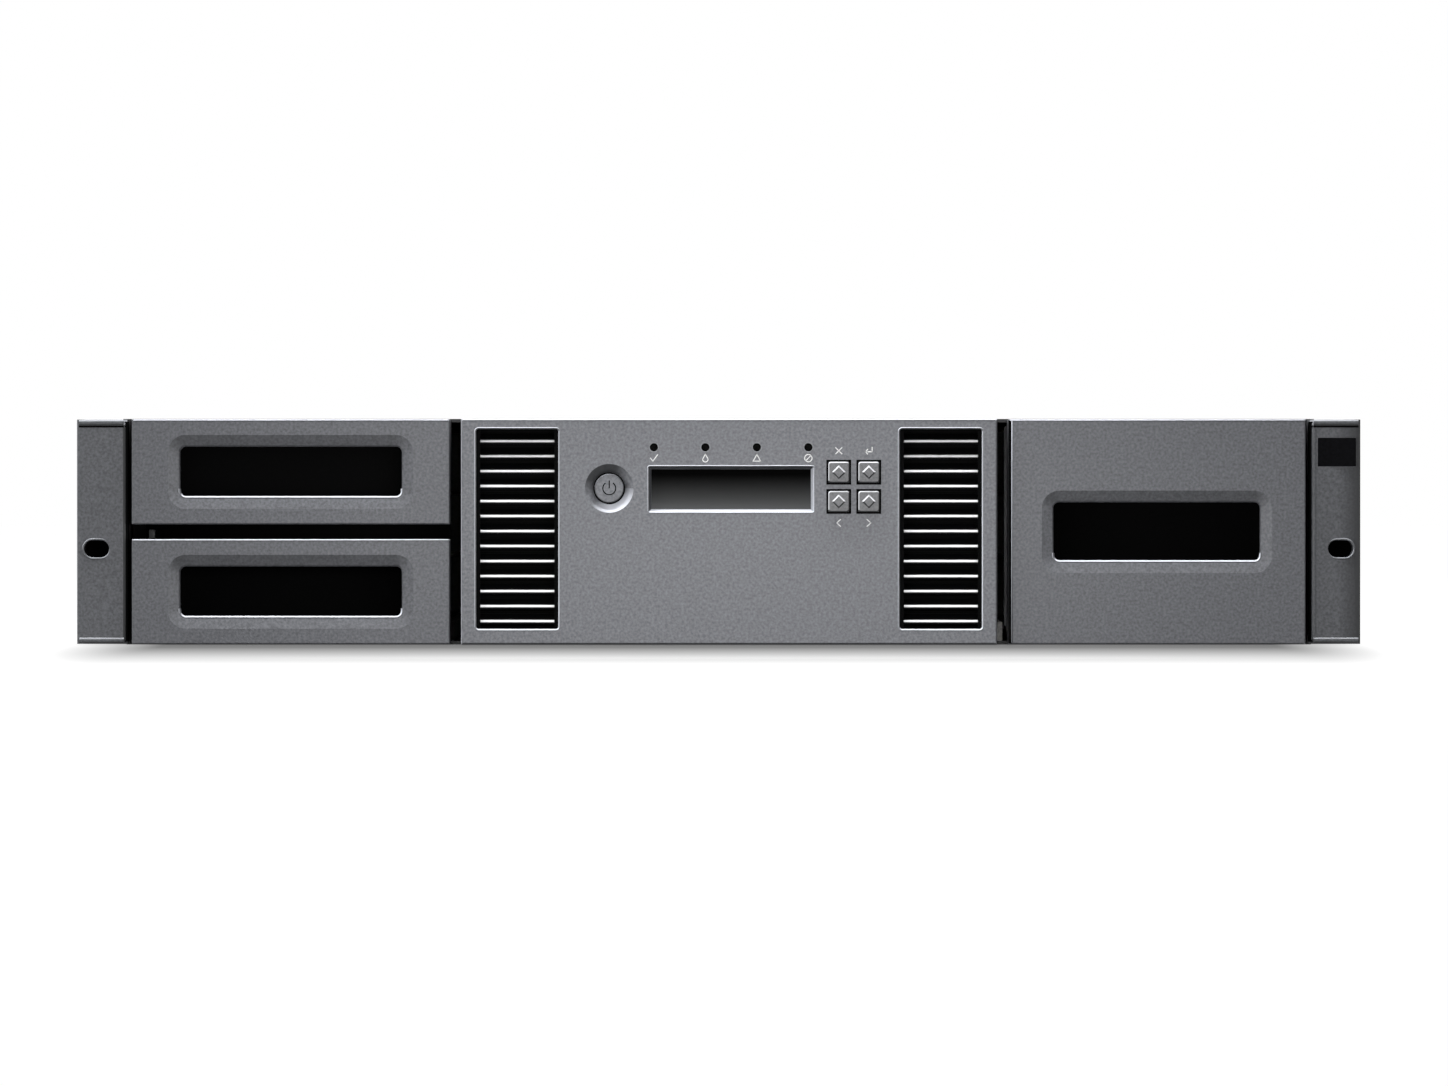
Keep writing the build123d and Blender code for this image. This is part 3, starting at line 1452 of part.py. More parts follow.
# Controller card: upright board with its port plate behind the rear window
card_ys = (rear_ys[0] - sheet - card_length, rear_ys[0] - sheet)
card_xs = (port_x[0] + card_inset, port_x[0] + card_inset + board_thickness)
with BuildPart() as controller_card:
    block(card_xs, card_ys, (sheet, cover_bottom - card_headroom))
    block(
        port_x,
        (card_ys[1], rear_ys[0]),
        (sheet + port_plate_gap, cover_bottom - port_plate_gap),
    )
    with BuildSketch(facing(rear_ys[0])):
        with Locations((sum(port_x) / 2, fan_z)):
            with GridLocations(0, jack_pitch, 1, jack_count):
                Rectangle(jack_width, jack_height)
    extrude(amount=jack_length)
    with BuildSketch(facing(rear_ys[0])):
        with Locations((sum(port_x) / 2, fan_z)):
            with GridLocations(0, jack_pitch, 1, jack_count):
                Rectangle(jack_mouth_width, jack_mouth_height)
    extrude(amount=jack_mouth_depth, mode=Mode.SUBTRACT)
    for along, level, side_length, tall in card_blocks:
        with BuildSketch(Plane.YZ.offset(card_xs[1])):
            with Locations((card_ys[0] + along, level)):
                Rectangle(side_length, side_length)
        extrude(amount=tall)
save(controller_card, "controller_card")
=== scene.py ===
import math

import bmesh
import bpy
from mathutils import Matrix, Vector


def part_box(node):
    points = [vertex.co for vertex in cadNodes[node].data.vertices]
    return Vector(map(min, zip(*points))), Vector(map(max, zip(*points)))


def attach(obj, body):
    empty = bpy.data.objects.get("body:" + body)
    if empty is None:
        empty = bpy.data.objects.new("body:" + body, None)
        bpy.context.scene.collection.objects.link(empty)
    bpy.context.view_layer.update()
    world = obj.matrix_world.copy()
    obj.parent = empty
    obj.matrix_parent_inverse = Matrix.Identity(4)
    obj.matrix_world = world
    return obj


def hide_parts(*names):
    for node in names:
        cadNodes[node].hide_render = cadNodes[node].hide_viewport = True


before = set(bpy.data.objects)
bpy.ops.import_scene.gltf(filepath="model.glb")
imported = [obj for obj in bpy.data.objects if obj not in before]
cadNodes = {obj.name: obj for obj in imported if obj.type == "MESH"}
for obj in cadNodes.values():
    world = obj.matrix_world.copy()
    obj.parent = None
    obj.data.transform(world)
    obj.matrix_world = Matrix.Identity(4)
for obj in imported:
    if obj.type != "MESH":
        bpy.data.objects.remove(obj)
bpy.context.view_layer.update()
mm = 0.001
white = (1, 1, 1, 1)
print("frame loaded:", len(cadNodes), "CAD nodes")

# camera: a long lens, level with the front
cameraView = {
    "lens": 200,
    "place": (0.002, -3.4029, 0.062),
    "aim": (0.002, -0.4029, 0.0382),
    "near": 0.05,
    "far": 60,
}
cameraData = bpy.data.cameras.new("frontCamera")
cameraData.lens = cameraView["lens"]
cameraData.clip_start = cameraView["near"]
cameraData.clip_end = cameraView["far"]
camera = bpy.data.objects.new("frontCamera", cameraData)
camera.location = cameraView["place"]
lookDirection = Vector(cameraView["aim"]) - Vector(cameraView["place"])
camera.rotation_euler = lookDirection.to_track_quat("-Z", "Y").to_euler()
bpy.context.collection.objects.link(camera)
bpy.context.scene.camera = camera
bpy.context.scene.view_settings.view_transform = "Standard"
print("camera placed")

# lamps: a near strip low in front, one overhead for the bevels, a tall one left, one behind
lamps = {
    "frontSoftbox": {"place": (0.005, -0.64, 0.045), "size": (0.32, 0.03), "watts": 0.385},
    "topStrip": {"place": (0, -0.53, 1.05), "size": (1.3, 0.12), "watts": 18},
    "leftStrip": {"place": (-1.5, -0.95, 0.75), "size": (0.25, 0.9), "watts": 9},
    "backStrip": {"place": (0, 1.5, 0.9), "size": (1.6, 0.6), "watts": 10},
}
lampAim = Vector((0, -0.3, 0.05))
for lampName, lamp in lamps.items():
    lampData = bpy.data.lights.new(lampName, "AREA")
    lampData.shape = "RECTANGLE"
    lampData.size, lampData.size_y = lamp["size"]
    lampData.energy = lamp["watts"]
    lampObject = bpy.data.objects.new(lampName, lampData)
    lampObject.location = lamp["place"]
    lampTurn = (lampAim - Vector(lamp["place"])).to_track_quat("-Z", "Y")
    lampObject.rotation_euler = lampTurn.to_euler()
    lampObject.visible_camera = False
    bpy.context.collection.objects.link(lampObject)
print("lamps placed:", len(lamps))


# shader helpers: a value may be a number, a colour or another node's output
def addNode(tree, kind, values=None, **settings):
    node = tree.nodes.new("ShaderNode" + kind)
    for setting, value in settings.items():
        setattr(node, setting, value)
    for socketName, value in (values or {}).items():
        feed(tree, node.inputs[socketName], value)
    return node


def feed(tree, socket, value):
    if isinstance(value, bpy.types.NodeSocket):
        tree.links.new(value, socket)
    else:
        socket.default_value = value


def maths(tree, operation, first, second=0.0, clamp=False):
    node = addNode(tree, "Math", {0: first, 1: second}, operation=operation, use_clamp=clamp)
    return node.outputs[0]


def times(tree, first, second):
    return maths(tree, "MULTIPLY", first, second)


def vectorMaths(tree, operation, first, second=None, output="Vector"):
    values = {0: first} if second is None else {0: first, 1: second}
    return addNode(tree, "VectorMath", values, operation=operation).outputs[output]


def ranged(tree, value, fromLow, fromHigh, toLow, toHigh):
    node = addNode(tree, "MapRange", {0: value, 1: fromLow, 2: fromHigh, 3: toLow, 4: toHigh})
    return node.outputs[0]


def masked(tree, value, fromLow, fromHigh):
    return ranged(tree, value, fromLow, fromHigh, 0.0, 1.0)


def mixed(tree, factor, first, second):
    node = addNode(tree, "Mix", {0: factor, 6: first, 7: second}, data_type="RGBA")
    return node.outputs[2]


def shade(colour, amount):
    return tuple(min(1.0, part * amount) for part in colour) + (1.0,)


def objectPlace(tree):
    return addNode(tree, "TexCoord").outputs["Object"]


def surfaceNormal(tree):
    return addNode(tree, "NewGeometry").outputs["Normal"]


def axisOf(tree, vector, axis):
    return addNode(tree, "SeparateXYZ", {0: vector}).outputs[axis]


def noise(tree, place, scale, detail, output=0, **more):
    values = {"Vector": place, "Scale": scale, "Detail": detail, **more}
    return addNode(tree, "TexNoise", values).outputs[output]


def startGroup(name, inputs, outputs):
    group = bpy.data.node_groups.new(name, "ShaderNodeTree")
    for socketName, value in inputs.items():
        kind = "NodeSocketVector" if isinstance(value, tuple) else "NodeSocketFloat"
        socket = group.interface.new_socket(name=socketName, in_out="INPUT", socket_type=kind)
        socket.default_value = value
    for socketName in outputs:
        group.interface.new_socket(
            name=socketName, in_out="OUTPUT", socket_type="NodeSocketFloat"
        )
    return group, group.nodes.new("NodeGroupInput").outputs, group.nodes.new("NodeGroupOutput")


def useGroup(tree, group, **values):
    node = tree.nodes.new("ShaderNodeGroup")
    node.node_tree = group
    for socketName, value in values.items():
        feed(tree, node.inputs[socketName], value)
    return node.outputs


# moulding grain: fine pits, and a slow mottle of the tone
mouldGrain, given, result = startGroup(
    "mouldGrain", {"Fine": 2600.0, "Coarse": 1000.0}, ["Pits", "Mottle"]
)
place = objectPlace(mouldGrain)
mottle = noise(mouldGrain, place, given["Coarse"], 4.0)
feed(mouldGrain, result.inputs["Pits"], noise(mouldGrain, place, given["Fine"], 2.0))
feed(mouldGrain, result.inputs["Mottle"], masked(mouldGrain, mottle, 0.32, 0.68))

# edge wear: rubbed bare where the surface turns, broken up by noise
edgeWear, given, result = startGroup("edgeWear", {"Radius": 0.0006, "Patches": 90.0}, ["Mask"])
rounded = addNode(edgeWear, "Bevel", {"Radius": given["Radius"]}, samples=4).outputs[0]
turned = vectorMaths(edgeWear, "DOT_PRODUCT", rounded, surfaceNormal(edgeWear), "Value")
patches = noise(edgeWear, objectPlace(edgeWear), given["Patches"], 5.0)
patches = ranged(edgeWear, patches, 0.4, 0.62, 0.15, 1.0)
rubbed = times(edgeWear, masked(edgeWear, turned, 0.99, 0.86), patches)
feed(edgeWear, result.inputs["Mask"], rubbed)

# settled dust: on faces that look up, thicker in drifts
settledDust, given, result = startGroup("settledDust", {"Drifts": 14.0}, ["Mask"])
upward = axisOf(settledDust, surfaceNormal(settledDust), "Z")
drifts = noise(settledDust, objectPlace(settledDust), given["Drifts"], 7.0, Roughness=0.65)
drifts = ranged(settledDust, drifts, 0.35, 0.75, 0.1, 1.0)
settled = times(settledDust, masked(settledDust, upward, 0.6, 1.0), drifts)
feed(settledDust, result.inputs["Mask"], settled)

# rolled sheet: long fine lines along the rolling direction
rolledSheet, given, result = startGroup(
    "rolledSheet", {"Stretch": (900.0, 12.0, 900.0)}, ["Lines", "Tone"]
)
place = objectPlace(rolledSheet)
stretched = addNode(rolledSheet, "Mapping", {"Vector": place, "Scale": given["Stretch"]})
lines = noise(rolledSheet, stretched.outputs[0], 1.0, 3.0)
cloud = ranged(rolledSheet, noise(rolledSheet, place, 9.0, 4.0), 0.3, 0.7, 0.7, 1.0)
streaks = ranged(rolledSheet, lines, 0.3, 0.7, 0.6, 1.0)
feed(rolledSheet, result.inputs["Lines"], lines)
feed(rolledSheet, result.inputs["Tone"], times(rolledSheet, streaks, cloud))

# zinc spangle: frosted crystals of galvanised sheet
zincSpangle, given, result = startGroup("zincSpangle", {"Crystals": 150.0}, ["Tone"])
place = objectPlace(zincSpangle)
warp = noise(zincSpangle, place, 240.0, 2.0, "Color")
shift = addNode(zincSpangle, "VectorMath", {0: warp, "Scale": 0.003}, operation="SCALE")
bent = vectorMaths(zincSpangle, "ADD", place, shift.outputs[0])
crystals = addNode(zincSpangle, "TexVoronoi", {"Vector": bent, "Scale": given["Crystals"]})
crystalTone = addNode(zincSpangle, "SeparateColor", {0: crystals.outputs["Color"]}).outputs[0]
feed(zincSpangle, result.inputs["Tone"], crystalTone)

# painted light from the upper left: a painted highlight on the part of an edge that looks up,
# painted shade on the part that looks down and on the right side
litCrown, given, result = startGroup(
    "litCrown",
    {"From": 0.2, "To": 0.6, "Flat": 0.97, "Side": 0.45},
    ["Crown", "PaintedUnderShade", "Right"],
)
facing = addNode(litCrown, "SeparateXYZ", {0: surfaceNormal(litCrown)}).outputs
lean = maths(litCrown, "SUBTRACT", facing["Z"], times(litCrown, facing["X"], given["Side"]))
crown = masked(litCrown, lean, given["From"], given["To"])
overFlat = maths(litCrown, "SUBTRACT", facing["Z"], given["Flat"])
flatTop = ranged(litCrown, overFlat, 0.0, 0.02, 1.0, 0.0)
sideways = maths(litCrown, "ABSOLUTE", facing["X"])
flatSide = ranged(litCrown, sideways, 0.96, 0.985, 1.0, 0.0)
crown = times(litCrown, times(litCrown, crown, flatTop), flatSide)
feed(litCrown, result.inputs["Crown"], crown)
feed(litCrown, result.inputs["PaintedUnderShade"], masked(litCrown, lean, -0.08, -0.42))
feed(litCrown, result.inputs["Right"], masked(litCrown, facing["X"], 0.08, 0.14))
print("shader groups ready")


def newMaterial(name):
    material = bpy.data.materials.new(name)
    material.use_nodes = True
    tree = material.node_tree
    return material, tree, tree.nodes["Principled BSDF"]


def setSurface(tree, shader, colour, rough, shine=None):
    feed(tree, shader.inputs["Base Color"], colour)
    feed(tree, shader.inputs["Roughness"], rough)
    if shine is not None:
        shader.inputs["Specular IOR Level"].default_value = shine


def addBump(tree, shader, height, depth):
    bump = addNode(tree, "Bump", {"Height": height, "Distance": depth, "Strength": 1.0})
    tree.links.new(bump.outputs[0], shader.inputs["Normal"])


# moulded plastics and powder coats: colour, worn edge, roughness, depth of the grain, and how
# strong the painted highlight on up-facing edges and the painted shade on down- and right-facing
# faces are
mouldedLooks = {
    "fascia_plastic": {
        "colour": (0.14, 0.144, 0.157), "worn": 1.5, "rough": 0.5, "depth": 0.00005,
        "crown": 4.6, "under": 0.9,
    },
    "panel_plastic": {
        "colour": (0.112, 0.115, 0.126), "worn": 1.5, "rough": 0.5, "depth": 0.00005,
        "crown": 4.6, "crownFrom": 0.42,
    },
    "ear_plastic": {
        "colour": (0.102, 0.105, 0.114), "worn": 1.6, "rough": 0.48, "depth": 0.00003,
        "crown": 3.6, "right": 1.0,
    },
    "key_plastic": {
        "colour": (0.105, 0.107, 0.112), "worn": 1.4, "rough": 0.4, "depth": 0.00001,
        "crown": 7.0, "crownFrom": 0.02, "under": 0.9,
    },
    # the three lip finishes are lit copies of the plastics: a painted highlight over nearly their
    # whole surface
    "fascia_lip": {
        "colour": (0.16, 0.165, 0.178), "worn": 1.5, "rough": 0.4, "depth": 0.00001,
        "crown": 5.2, "crownFrom": 0.05, "flat": 1.2, "under": 0.9,
    },
    "panel_lip": {
        "colour": (0.112, 0.115, 0.126), "worn": 1.5, "rough": 0.4, "depth": 0.00001,
        "crown": 7.0, "crownFrom": -0.05, "flat": 1.2,
    },
    "ear_lip": {
        "colour": (0.096, 0.1, 0.108), "worn": 1.6, "rough": 0.4, "depth": 0.00001,
        "crown": 4.4, "crownFrom": 0.15, "flat": 1.2, "under": 0.9,
    },
    "badge_black": {
        "colour": (0.004, 0.004, 0.005), "worn": 2.0, "rough": 0.12, "depth": 0.0, "shine": 0.03,
    },
    "pocket_black": {
        "colour": (0.0008, 0.0008, 0.0009), "worn": 1.6, "rough": 0.6, "depth": 0.00003,
        "shine": 0.03,
    },
    "body_metal": {
        "colour": (0.03, 0.031, 0.033), "worn": 2.5, "rough": 0.45, "depth": 0.00005,
        "fine": 1300.0, "dust": 0.025,
    },
    "display_black": {
        "colour": (0.02, 0.022, 0.021), "worn": 1.2, "rough": 0.3, "depth": 0.0, "shine": 0.1,
    },
    "runner_plastic": {
        "colour": (0.02, 0.02, 0.021), "worn": 2.0, "rough": 0.4, "depth": 0.00001, "shine": 0.2,
    },
    "cell_plastic": {"colour": (0.05, 0.052, 0.056), "worn": 1.9, "rough": 0.5, "depth": 0.00003},
    "rail_plastic": {"colour": (0.52, 0.51, 0.48), "worn": 0.8, "rough": 0.38, "depth": 0.00001},
    "gear_plastic": {"colour": (0.58, 0.56, 0.5), "worn": 0.7, "rough": 0.35, "depth": 0.00001},
    "inlet_black": {"colour": (0.012, 0.012, 0.013), "worn": 2.2, "rough": 0.35, "depth": 0.00002},
    "fan_black": {
        "colour": (0.014, 0.014, 0.015), "worn": 2.2, "rough": 0.38, "depth": 0.00001,
        "dust": 0.3,
    },
}
dustColour = (0.42, 0.4, 0.37, 1.0)


def mouldedFinish(name, look):
    material, tree, shader = newMaterial(name)
    base, rough = look["colour"], look["rough"]
    crowned = "crown" in look
    crownFrom = look.get("crownFrom", 0.2)
    grain = useGroup(tree, mouldGrain, Fine=look.get("fine", 2600.0))
    wear = useGroup(tree, edgeWear)["Mask"]
    dust = times(tree, useGroup(tree, settledDust)["Mask"], look.get("dust", 0.05))
    lit = useGroup(
        tree, litCrown, From=crownFrom, To=crownFrom + 0.35, Flat=look.get("flat", 0.97)
    )
    colour = mixed(tree, grain["Mottle"], shade(base, 0.7), shade(base, 1.26))
    # painted shade on faces that look right and down, a painted highlight on edges that look up,
    # then real edge wear
    for mask, share, amount in (
        (lit["Right"], look.get("right", 0.0), 0.2),
        (lit["PaintedUnderShade"], look.get("under", 0.6 if crowned else 0.0), 0.15),
        (lit["Crown"], 1.0 if crowned else 0.0, look.get("crown", 1.0)),
        (wear, 0.55, look["worn"]),
    ):
        colour = mixed(tree, times(tree, mask, share), colour, shade(base, amount))
    polish = ranged(tree, grain["Mottle"], 0.0, 1.0, rough - 0.04, rough + 0.04)
    polish = maths(tree, "SUBTRACT", polish, times(tree, wear, 0.08))
    polish = maths(tree, "ADD", polish, times(tree, dust, 0.5), clamp=True)
    setSurface(tree, shader, mixed(tree, dust, colour, dustColour), polish, look.get("shine", 0.4))
    if look["depth"]:
        addBump(tree, shader, grain["Pits"], look["depth"])
    return material


# bare and plated metals; two are painted black in front of a given depth, painted shade on their
# front edges seen in the gaps between the panels
metalLooks = {
    "inner_metal": {
        "colour": (0.24, 0.245, 0.25), "rough": 0.38, "spangle": 0.5, "paintedShadeTo": -0.375,
    },
    "tray_metal": {
        "colour": (0.42, 0.43, 0.44), "rough": 0.38, "spangle": 0.45, "paintedShadeTo": -0.36,
    },
    "drive_metal": {"colour": (0.23, 0.23, 0.228), "rough": 0.42, "spangle": 0.0},
    "motor_metal": {"colour": (0.3, 0.3, 0.31), "rough": 0.32, "spangle": 0.0},
    "steel": {"colour": (0.66, 0.65, 0.63), "rough": 0.2, "spangle": 0.0},
    "fastener": {"colour": (0.62, 0.61, 0.58), "rough": 0.22, "spangle": 0.0},
}
paintedShadeBlack = (0.004, 0.004, 0.004, 1.0)


def metalFinish(name, look):
    material, tree, shader = newMaterial(name)
    base, rough = look["colour"], look["rough"]
    sheet = useGroup(tree, rolledSheet)
    spangle = useGroup(tree, zincSpangle)["Tone"]
    wear = useGroup(tree, edgeWear, Radius=0.0004)["Mask"]
    tone = mixed(tree, sheet["Tone"], shade(base, 0.82), shade(base, 1.05))
    frosted = mixed(tree, spangle, shade(base, 0.75), shade(base, 1.12))
    colour = mixed(tree, look["spangle"], tone, frosted)
    colour = mixed(tree, times(tree, wear, 0.5), colour, shade(base, 1.3))
    shader.inputs["Metallic"].default_value = 1.0
    # painted shade: black in front of the given depth, and no longer metal there
    if "paintedShadeTo" in look:
        along = axisOf(tree, objectPlace(tree), "Y")
        paintedShade = ranged(tree, along, look["paintedShadeTo"], look["paintedShadeTo"] + 0.002, 1.0, 0.0)
        colour = mixed(tree, paintedShade, colour, paintedShadeBlack)
        feed(tree, shader.inputs["Metallic"], maths(tree, "SUBTRACT", 1.0, paintedShade))
    polish = ranged(tree, sheet["Lines"], 0.3, 0.7, rough - 0.06, rough + 0.08)
    frost = times(tree, spangle, 0.16 * look["spangle"])
    setSurface(tree, shader, colour, maths(tree, "ADD", polish, frost, clamp=True))
    addBump(tree, shader, sheet["Lines"], 0.000006)
    return material


finishes = {name: mouldedFinish(name, look) for name, look in mouldedLooks.items()}
finishes.update({name: metalFinish(name, look) for name, look in metalLooks.items()})

# display lens: smoked glass, darkened towards its top with painted shade and lightened towards its
# lower edge with a painted reflection
lensLook = {
    "top": (0.002, 0.002, 0.002, 1.0),
    "bottom": (0.105, 0.107, 0.108, 1.0),
    "rough": (0.08, 0.14),
    "shadedTop": 3 * mm,
    "fall": 1.5,
}
material, tree, shader = newMaterial("display_glass")
lensLow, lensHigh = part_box("display_lens")
lensRise = axisOf(tree, objectPlace(tree), "Z")
lensRise = ranged(tree, lensRise, lensLow.z, lensHigh.z - lensLook["shadedTop"], 1.0, 0.0)
lensShadeRamp = maths(tree, "POWER", lensRise, lensLook["fall"])
lensGrain = useGroup(tree, mouldGrain, Fine=900.0, Coarse=60.0)
lensColour = mixed(tree, lensShadeRamp, lensLook["top"], lensLook["bottom"])
lensRough = ranged(tree, lensGrain["Mottle"], 0.0, 1.0, *lensLook["rough"])
setSurface(tree, shader, lensColour, lensRough, 0.0)
finishes["display_glass"] = material

# vent fins: black, with a painted highlight in pale grey along the crown of each fin
finLook = {
    "shadow": (0.004, 0.004, 0.0045, 1.0),
    "crown": (0.95, 0.96, 0.97, 1.0),
    "rough": (0.3, 0.4),
    "shine": 0.12,
}
material, tree, shader = newMaterial("grille_black")
finGrain = useGroup(tree, mouldGrain, Fine=1800.0, Coarse=300.0)
finCrown = useGroup(tree, litCrown, From=-0.3, To=0.1, Flat=0.86)["Crown"]
finCrown = times(tree, finCrown, ranged(tree, finGrain["Mottle"], 0.0, 1.0, 0.85, 1.0))
finColour = mixed(tree, finCrown, finLook["shadow"], finLook["crown"])
finRough = ranged(tree, finGrain["Pits"], 0.3, 0.7, *finLook["rough"])
setSurface(tree, shader, finColour, finRough, finLook["shine"])
finishes["grille_black"] = material

# status lamps: smoked light pipes, dark while they are off
pipeLook = {
    "core": (0.002, 0.0022, 0.002, 1.0),
    "skin": (0.0008, 0.0008, 0.0008, 1.0),
    "rough": (0.12, 0.2),
    "shine": 0.02,
}
material, tree, shader = newMaterial("lamp_clear")
pipeMottle = useGroup(tree, mouldGrain, Fine=1800.0, Coarse=700.0)["Mottle"]
pipeColour = mixed(tree, pipeMottle, pipeLook["skin"], pipeLook["core"])
pipeRough = ranged(tree, pipeMottle, 0.0, 1.0, *pipeLook["rough"])
setSurface(tree, shader, pipeColour, pipeRough, pipeLook["shine"])
finishes["lamp_clear"] = material

# circuit boards: green mask over copper tracks, tinned pads
boardLook = {
    "mask": (0.006, 0.06, 0.028, 1.0),
    "track": (0.014, 0.12, 0.05, 1.0),
    "pad": (0.6, 0.58, 0.5, 1.0),
    "pitch": 260.0,
    "trackHeight": 0.00004,
}
material, tree, shader = newMaterial("circuit_board")
boardPlace = objectPlace(tree)
boardCells = addNode(
    tree, "TexVoronoi", {"Vector": boardPlace, "Scale": boardLook["pitch"]}, distance="MANHATTAN"
)
boardWaves = addNode(
    tree,
    "TexWave",
    {"Vector": boardPlace, "Scale": 90.0, "Distortion": 6.0, "Detail": 2.0},
    bands_direction="Z",
)
trackMask = masked(tree, boardWaves.outputs["Fac"], 0.62, 0.7)
padMask = masked(tree, boardCells.outputs["Distance"], 0.12, 0.08)
boardColour = mixed(tree, trackMask, boardLook["mask"], boardLook["track"])
boardColour = mixed(tree, padMask, boardColour, boardLook["pad"])
feed(tree, shader.inputs["Metallic"], padMask)
setSurface(tree, shader, boardColour, ranged(tree, trackMask, 0.0, 1.0, 0.32, 0.24))
addBump(tree, shader, trackMask, boardLook["trackHeight"])
finishes["circuit_board"] = material

for cadObject in cadNodes.values():
    for slot in cadObject.material_slots:
        slot.material = finishes[slot.material.name.split(".")[0]]
print("materials on the CAD nodes:", len(finishes))


# mesh helpers
def edgesOf(verts):
    return list({edge for vert in verts for edge in vert.link_edges})


def picked(items, kind):
    return [item for item in items if isinstance(item, kind)]


def bevelEdges(mesh, edges, offset):
    return bmesh.ops.bevel(
        mesh, geom=edges, offset=offset, segments=2, profile=0.5, affect="EDGES", material=-1
    )["verts"]


def addBox(mesh, low, high, bevel=0.0):
    made = bmesh.ops.create_cube(mesh, size=1.0)["verts"]
    bmesh.ops.scale(mesh, vec=Vector(high) - Vector(low), verts=made)
    bmesh.ops.translate(mesh, vec=(Vector(low) + Vector(high)) / 2, verts=made)
    if bevel:
        bevelEdges(mesh, edgesOf(made), bevel)


def addCross(mesh, centre, facing, cut):
    length, width, depth = cut["length"] / 2, cut["width"] / 2, cut["depth"]
    for across, upright in ((length, width), (width, length)):
        half = Vector((depth, across, upright) if facing == "X" else (across, depth, upright))
        addBox(mesh, Vector(centre) - half, Vector(centre) + half)


def addRod(mesh, place, radius, length, facing="Y", segments=24, bevel=0.0):
    turns = {
        "Y": Matrix.Rotation(math.radians(90), 4, "X"),
        "X": Matrix.Rotation(math.radians(90), 4, "Y"),
        "Z": Matrix.Identity(4),
    }
    made = bmesh.ops.create_cone(
        mesh, cap_ends=True, segments=segments, radius1=radius, radius2=radius, depth=length
    )["verts"]
    if bevel:
        rims = [
            edge
            for edge in edgesOf(made)
            if edge.verts[0].co.z * edge.verts[1].co.z > 0
            and all(abs(vert.co.z) > length * 0.49 for vert in edge.verts)
        ]
        bevelled = bevelEdges(mesh, rims, bevel)
        made = list(set(bevelled + [vert for vert in made if vert.is_valid]))
    bmesh.ops.transform(mesh, matrix=Matrix.Translation(place) @ turns[facing], verts=made)


def addStroke(mesh, start, end, width, y, thickness):
    startPoint, endPoint = Vector((start[0], y, start[1])), Vector((end[0], y, end[1]))
    along = endPoint - startPoint
    made = bmesh.ops.create_cube(mesh, size=1.0)["verts"]
    bmesh.ops.scale(mesh, vec=(along.length + width, thickness, width), verts=made)
    turn = Matrix.Rotation(-math.atan2(along.z, along.x), 4, "Y")
    shift = Matrix.Translation((startPoint + endPoint) / 2)
    bmesh.ops.transform(mesh, matrix=shift @ turn, verts=made)


def addRing(mesh, centre, radius, width, thickness, sweep=360.0, start=0.0, steps=32):
    corners = ((-width, -thickness), (width, -thickness), (width, thickness), (-width, thickness))
    turn = math.radians(start)
    outward = Vector((math.cos(turn), 0, math.sin(turn)))
    verts = [
        mesh.verts.new(Vector(centre) + outward * (radius + across / 2) + Vector((0, y / 2, 0)))
        for across, y in corners
    ]
    face = mesh.faces.new(verts)
    full = sweep >= 360.0
    geometry = verts + edgesOf(verts) + ([] if full else [face])
    if full:
        bmesh.ops.delete(mesh, geom=[face], context="FACES_ONLY")
    bmesh.ops.spin(
        mesh,
        geom=geometry,
        cent=centre,
        axis=(0, -1, 0),
        angle=math.radians(sweep),
        steps=steps,
        use_merge=full,
    )


def extrudeAlong(mesh, edges, shift):
    made = bmesh.ops.extrude_edge_only(mesh, edges=edges)["geom"]
    verts = picked(made, bmesh.types.BMVert)
    bmesh.ops.translate(mesh, vec=shift, verts=verts)
    edges = picked(made, bmesh.types.BMEdge)
    return verts + [edge for edge in edges if all(vert in verts for vert in edge.verts)]


# a closed rod that runs round a rounded rectangle
def addRim(mesh, centre, width, height, corner, y, bead, sides=8):
    across, upright = width / 2 - corner, height / 2 - corner
    ring = bmesh.ops.create_circle(mesh, segments=sides, radius=bead)["verts"]
    turn = Matrix.Rotation(math.radians(90), 3, "Y")
    bmesh.ops.rotate(mesh, cent=(0, 0, 0), matrix=turn, verts=ring)
    start = (centre[0] - across, y, centre[1] - height / 2)
    bmesh.ops.translate(mesh, vec=start, verts=ring)
    sweep = ring + edgesOf(ring)
    for cornerX, cornerZ, run in (
        (across, -upright, (2 * across, 0, 0)),
        (across, upright, (0, 0, 2 * upright)),
        (-across, upright, (-2 * across, 0, 0)),
        (-across, -upright, (0, 0, -2 * upright)),
    ):
        moved = extrudeAlong(mesh, picked(sweep, bmesh.types.BMEdge), run)
        pivot = (centre[0] + cornerX, y, centre[1] + cornerZ)
        sweep = bmesh.ops.spin(
            mesh, geom=moved, cent=pivot, axis=(0, -1, 0), angle=math.radians(90), steps=6
        )["geom_last"]
    bmesh.ops.remove_doubles(mesh, verts=mesh.verts, dist=1e-6)


# an oval rod along a path, closed at both ends
def addSweep(mesh, points, depth, height, sides=12, facing="X"):
    ring = bmesh.ops.create_circle(mesh, segments=sides, radius=1.0)["verts"]
    if facing == "X":
        turn = Matrix.Diagonal((1, depth, height, 1)) @ Matrix.Rotation(math.radians(90), 4, "Y")
    else:
        turn = Matrix.Diagonal((height, depth, 1, 1))
    bmesh.ops.transform(mesh, matrix=turn, verts=ring)
    bmesh.ops.translate(mesh, vec=points[0], verts=ring)
    edges = ends = edgesOf(ring)
    for before, after in zip(points, points[1:]):
        moved = extrudeAlong(mesh, edges, Vector(after) - Vector(before))
        edges = picked(moved, bmesh.types.BMEdge)
    bmesh.ops.holes_fill(mesh, edges=ends + edges, sides=sides)


def frontMiddle(low, high):
    return (low.x + high.x) / 2, (low.z + high.z) / 2


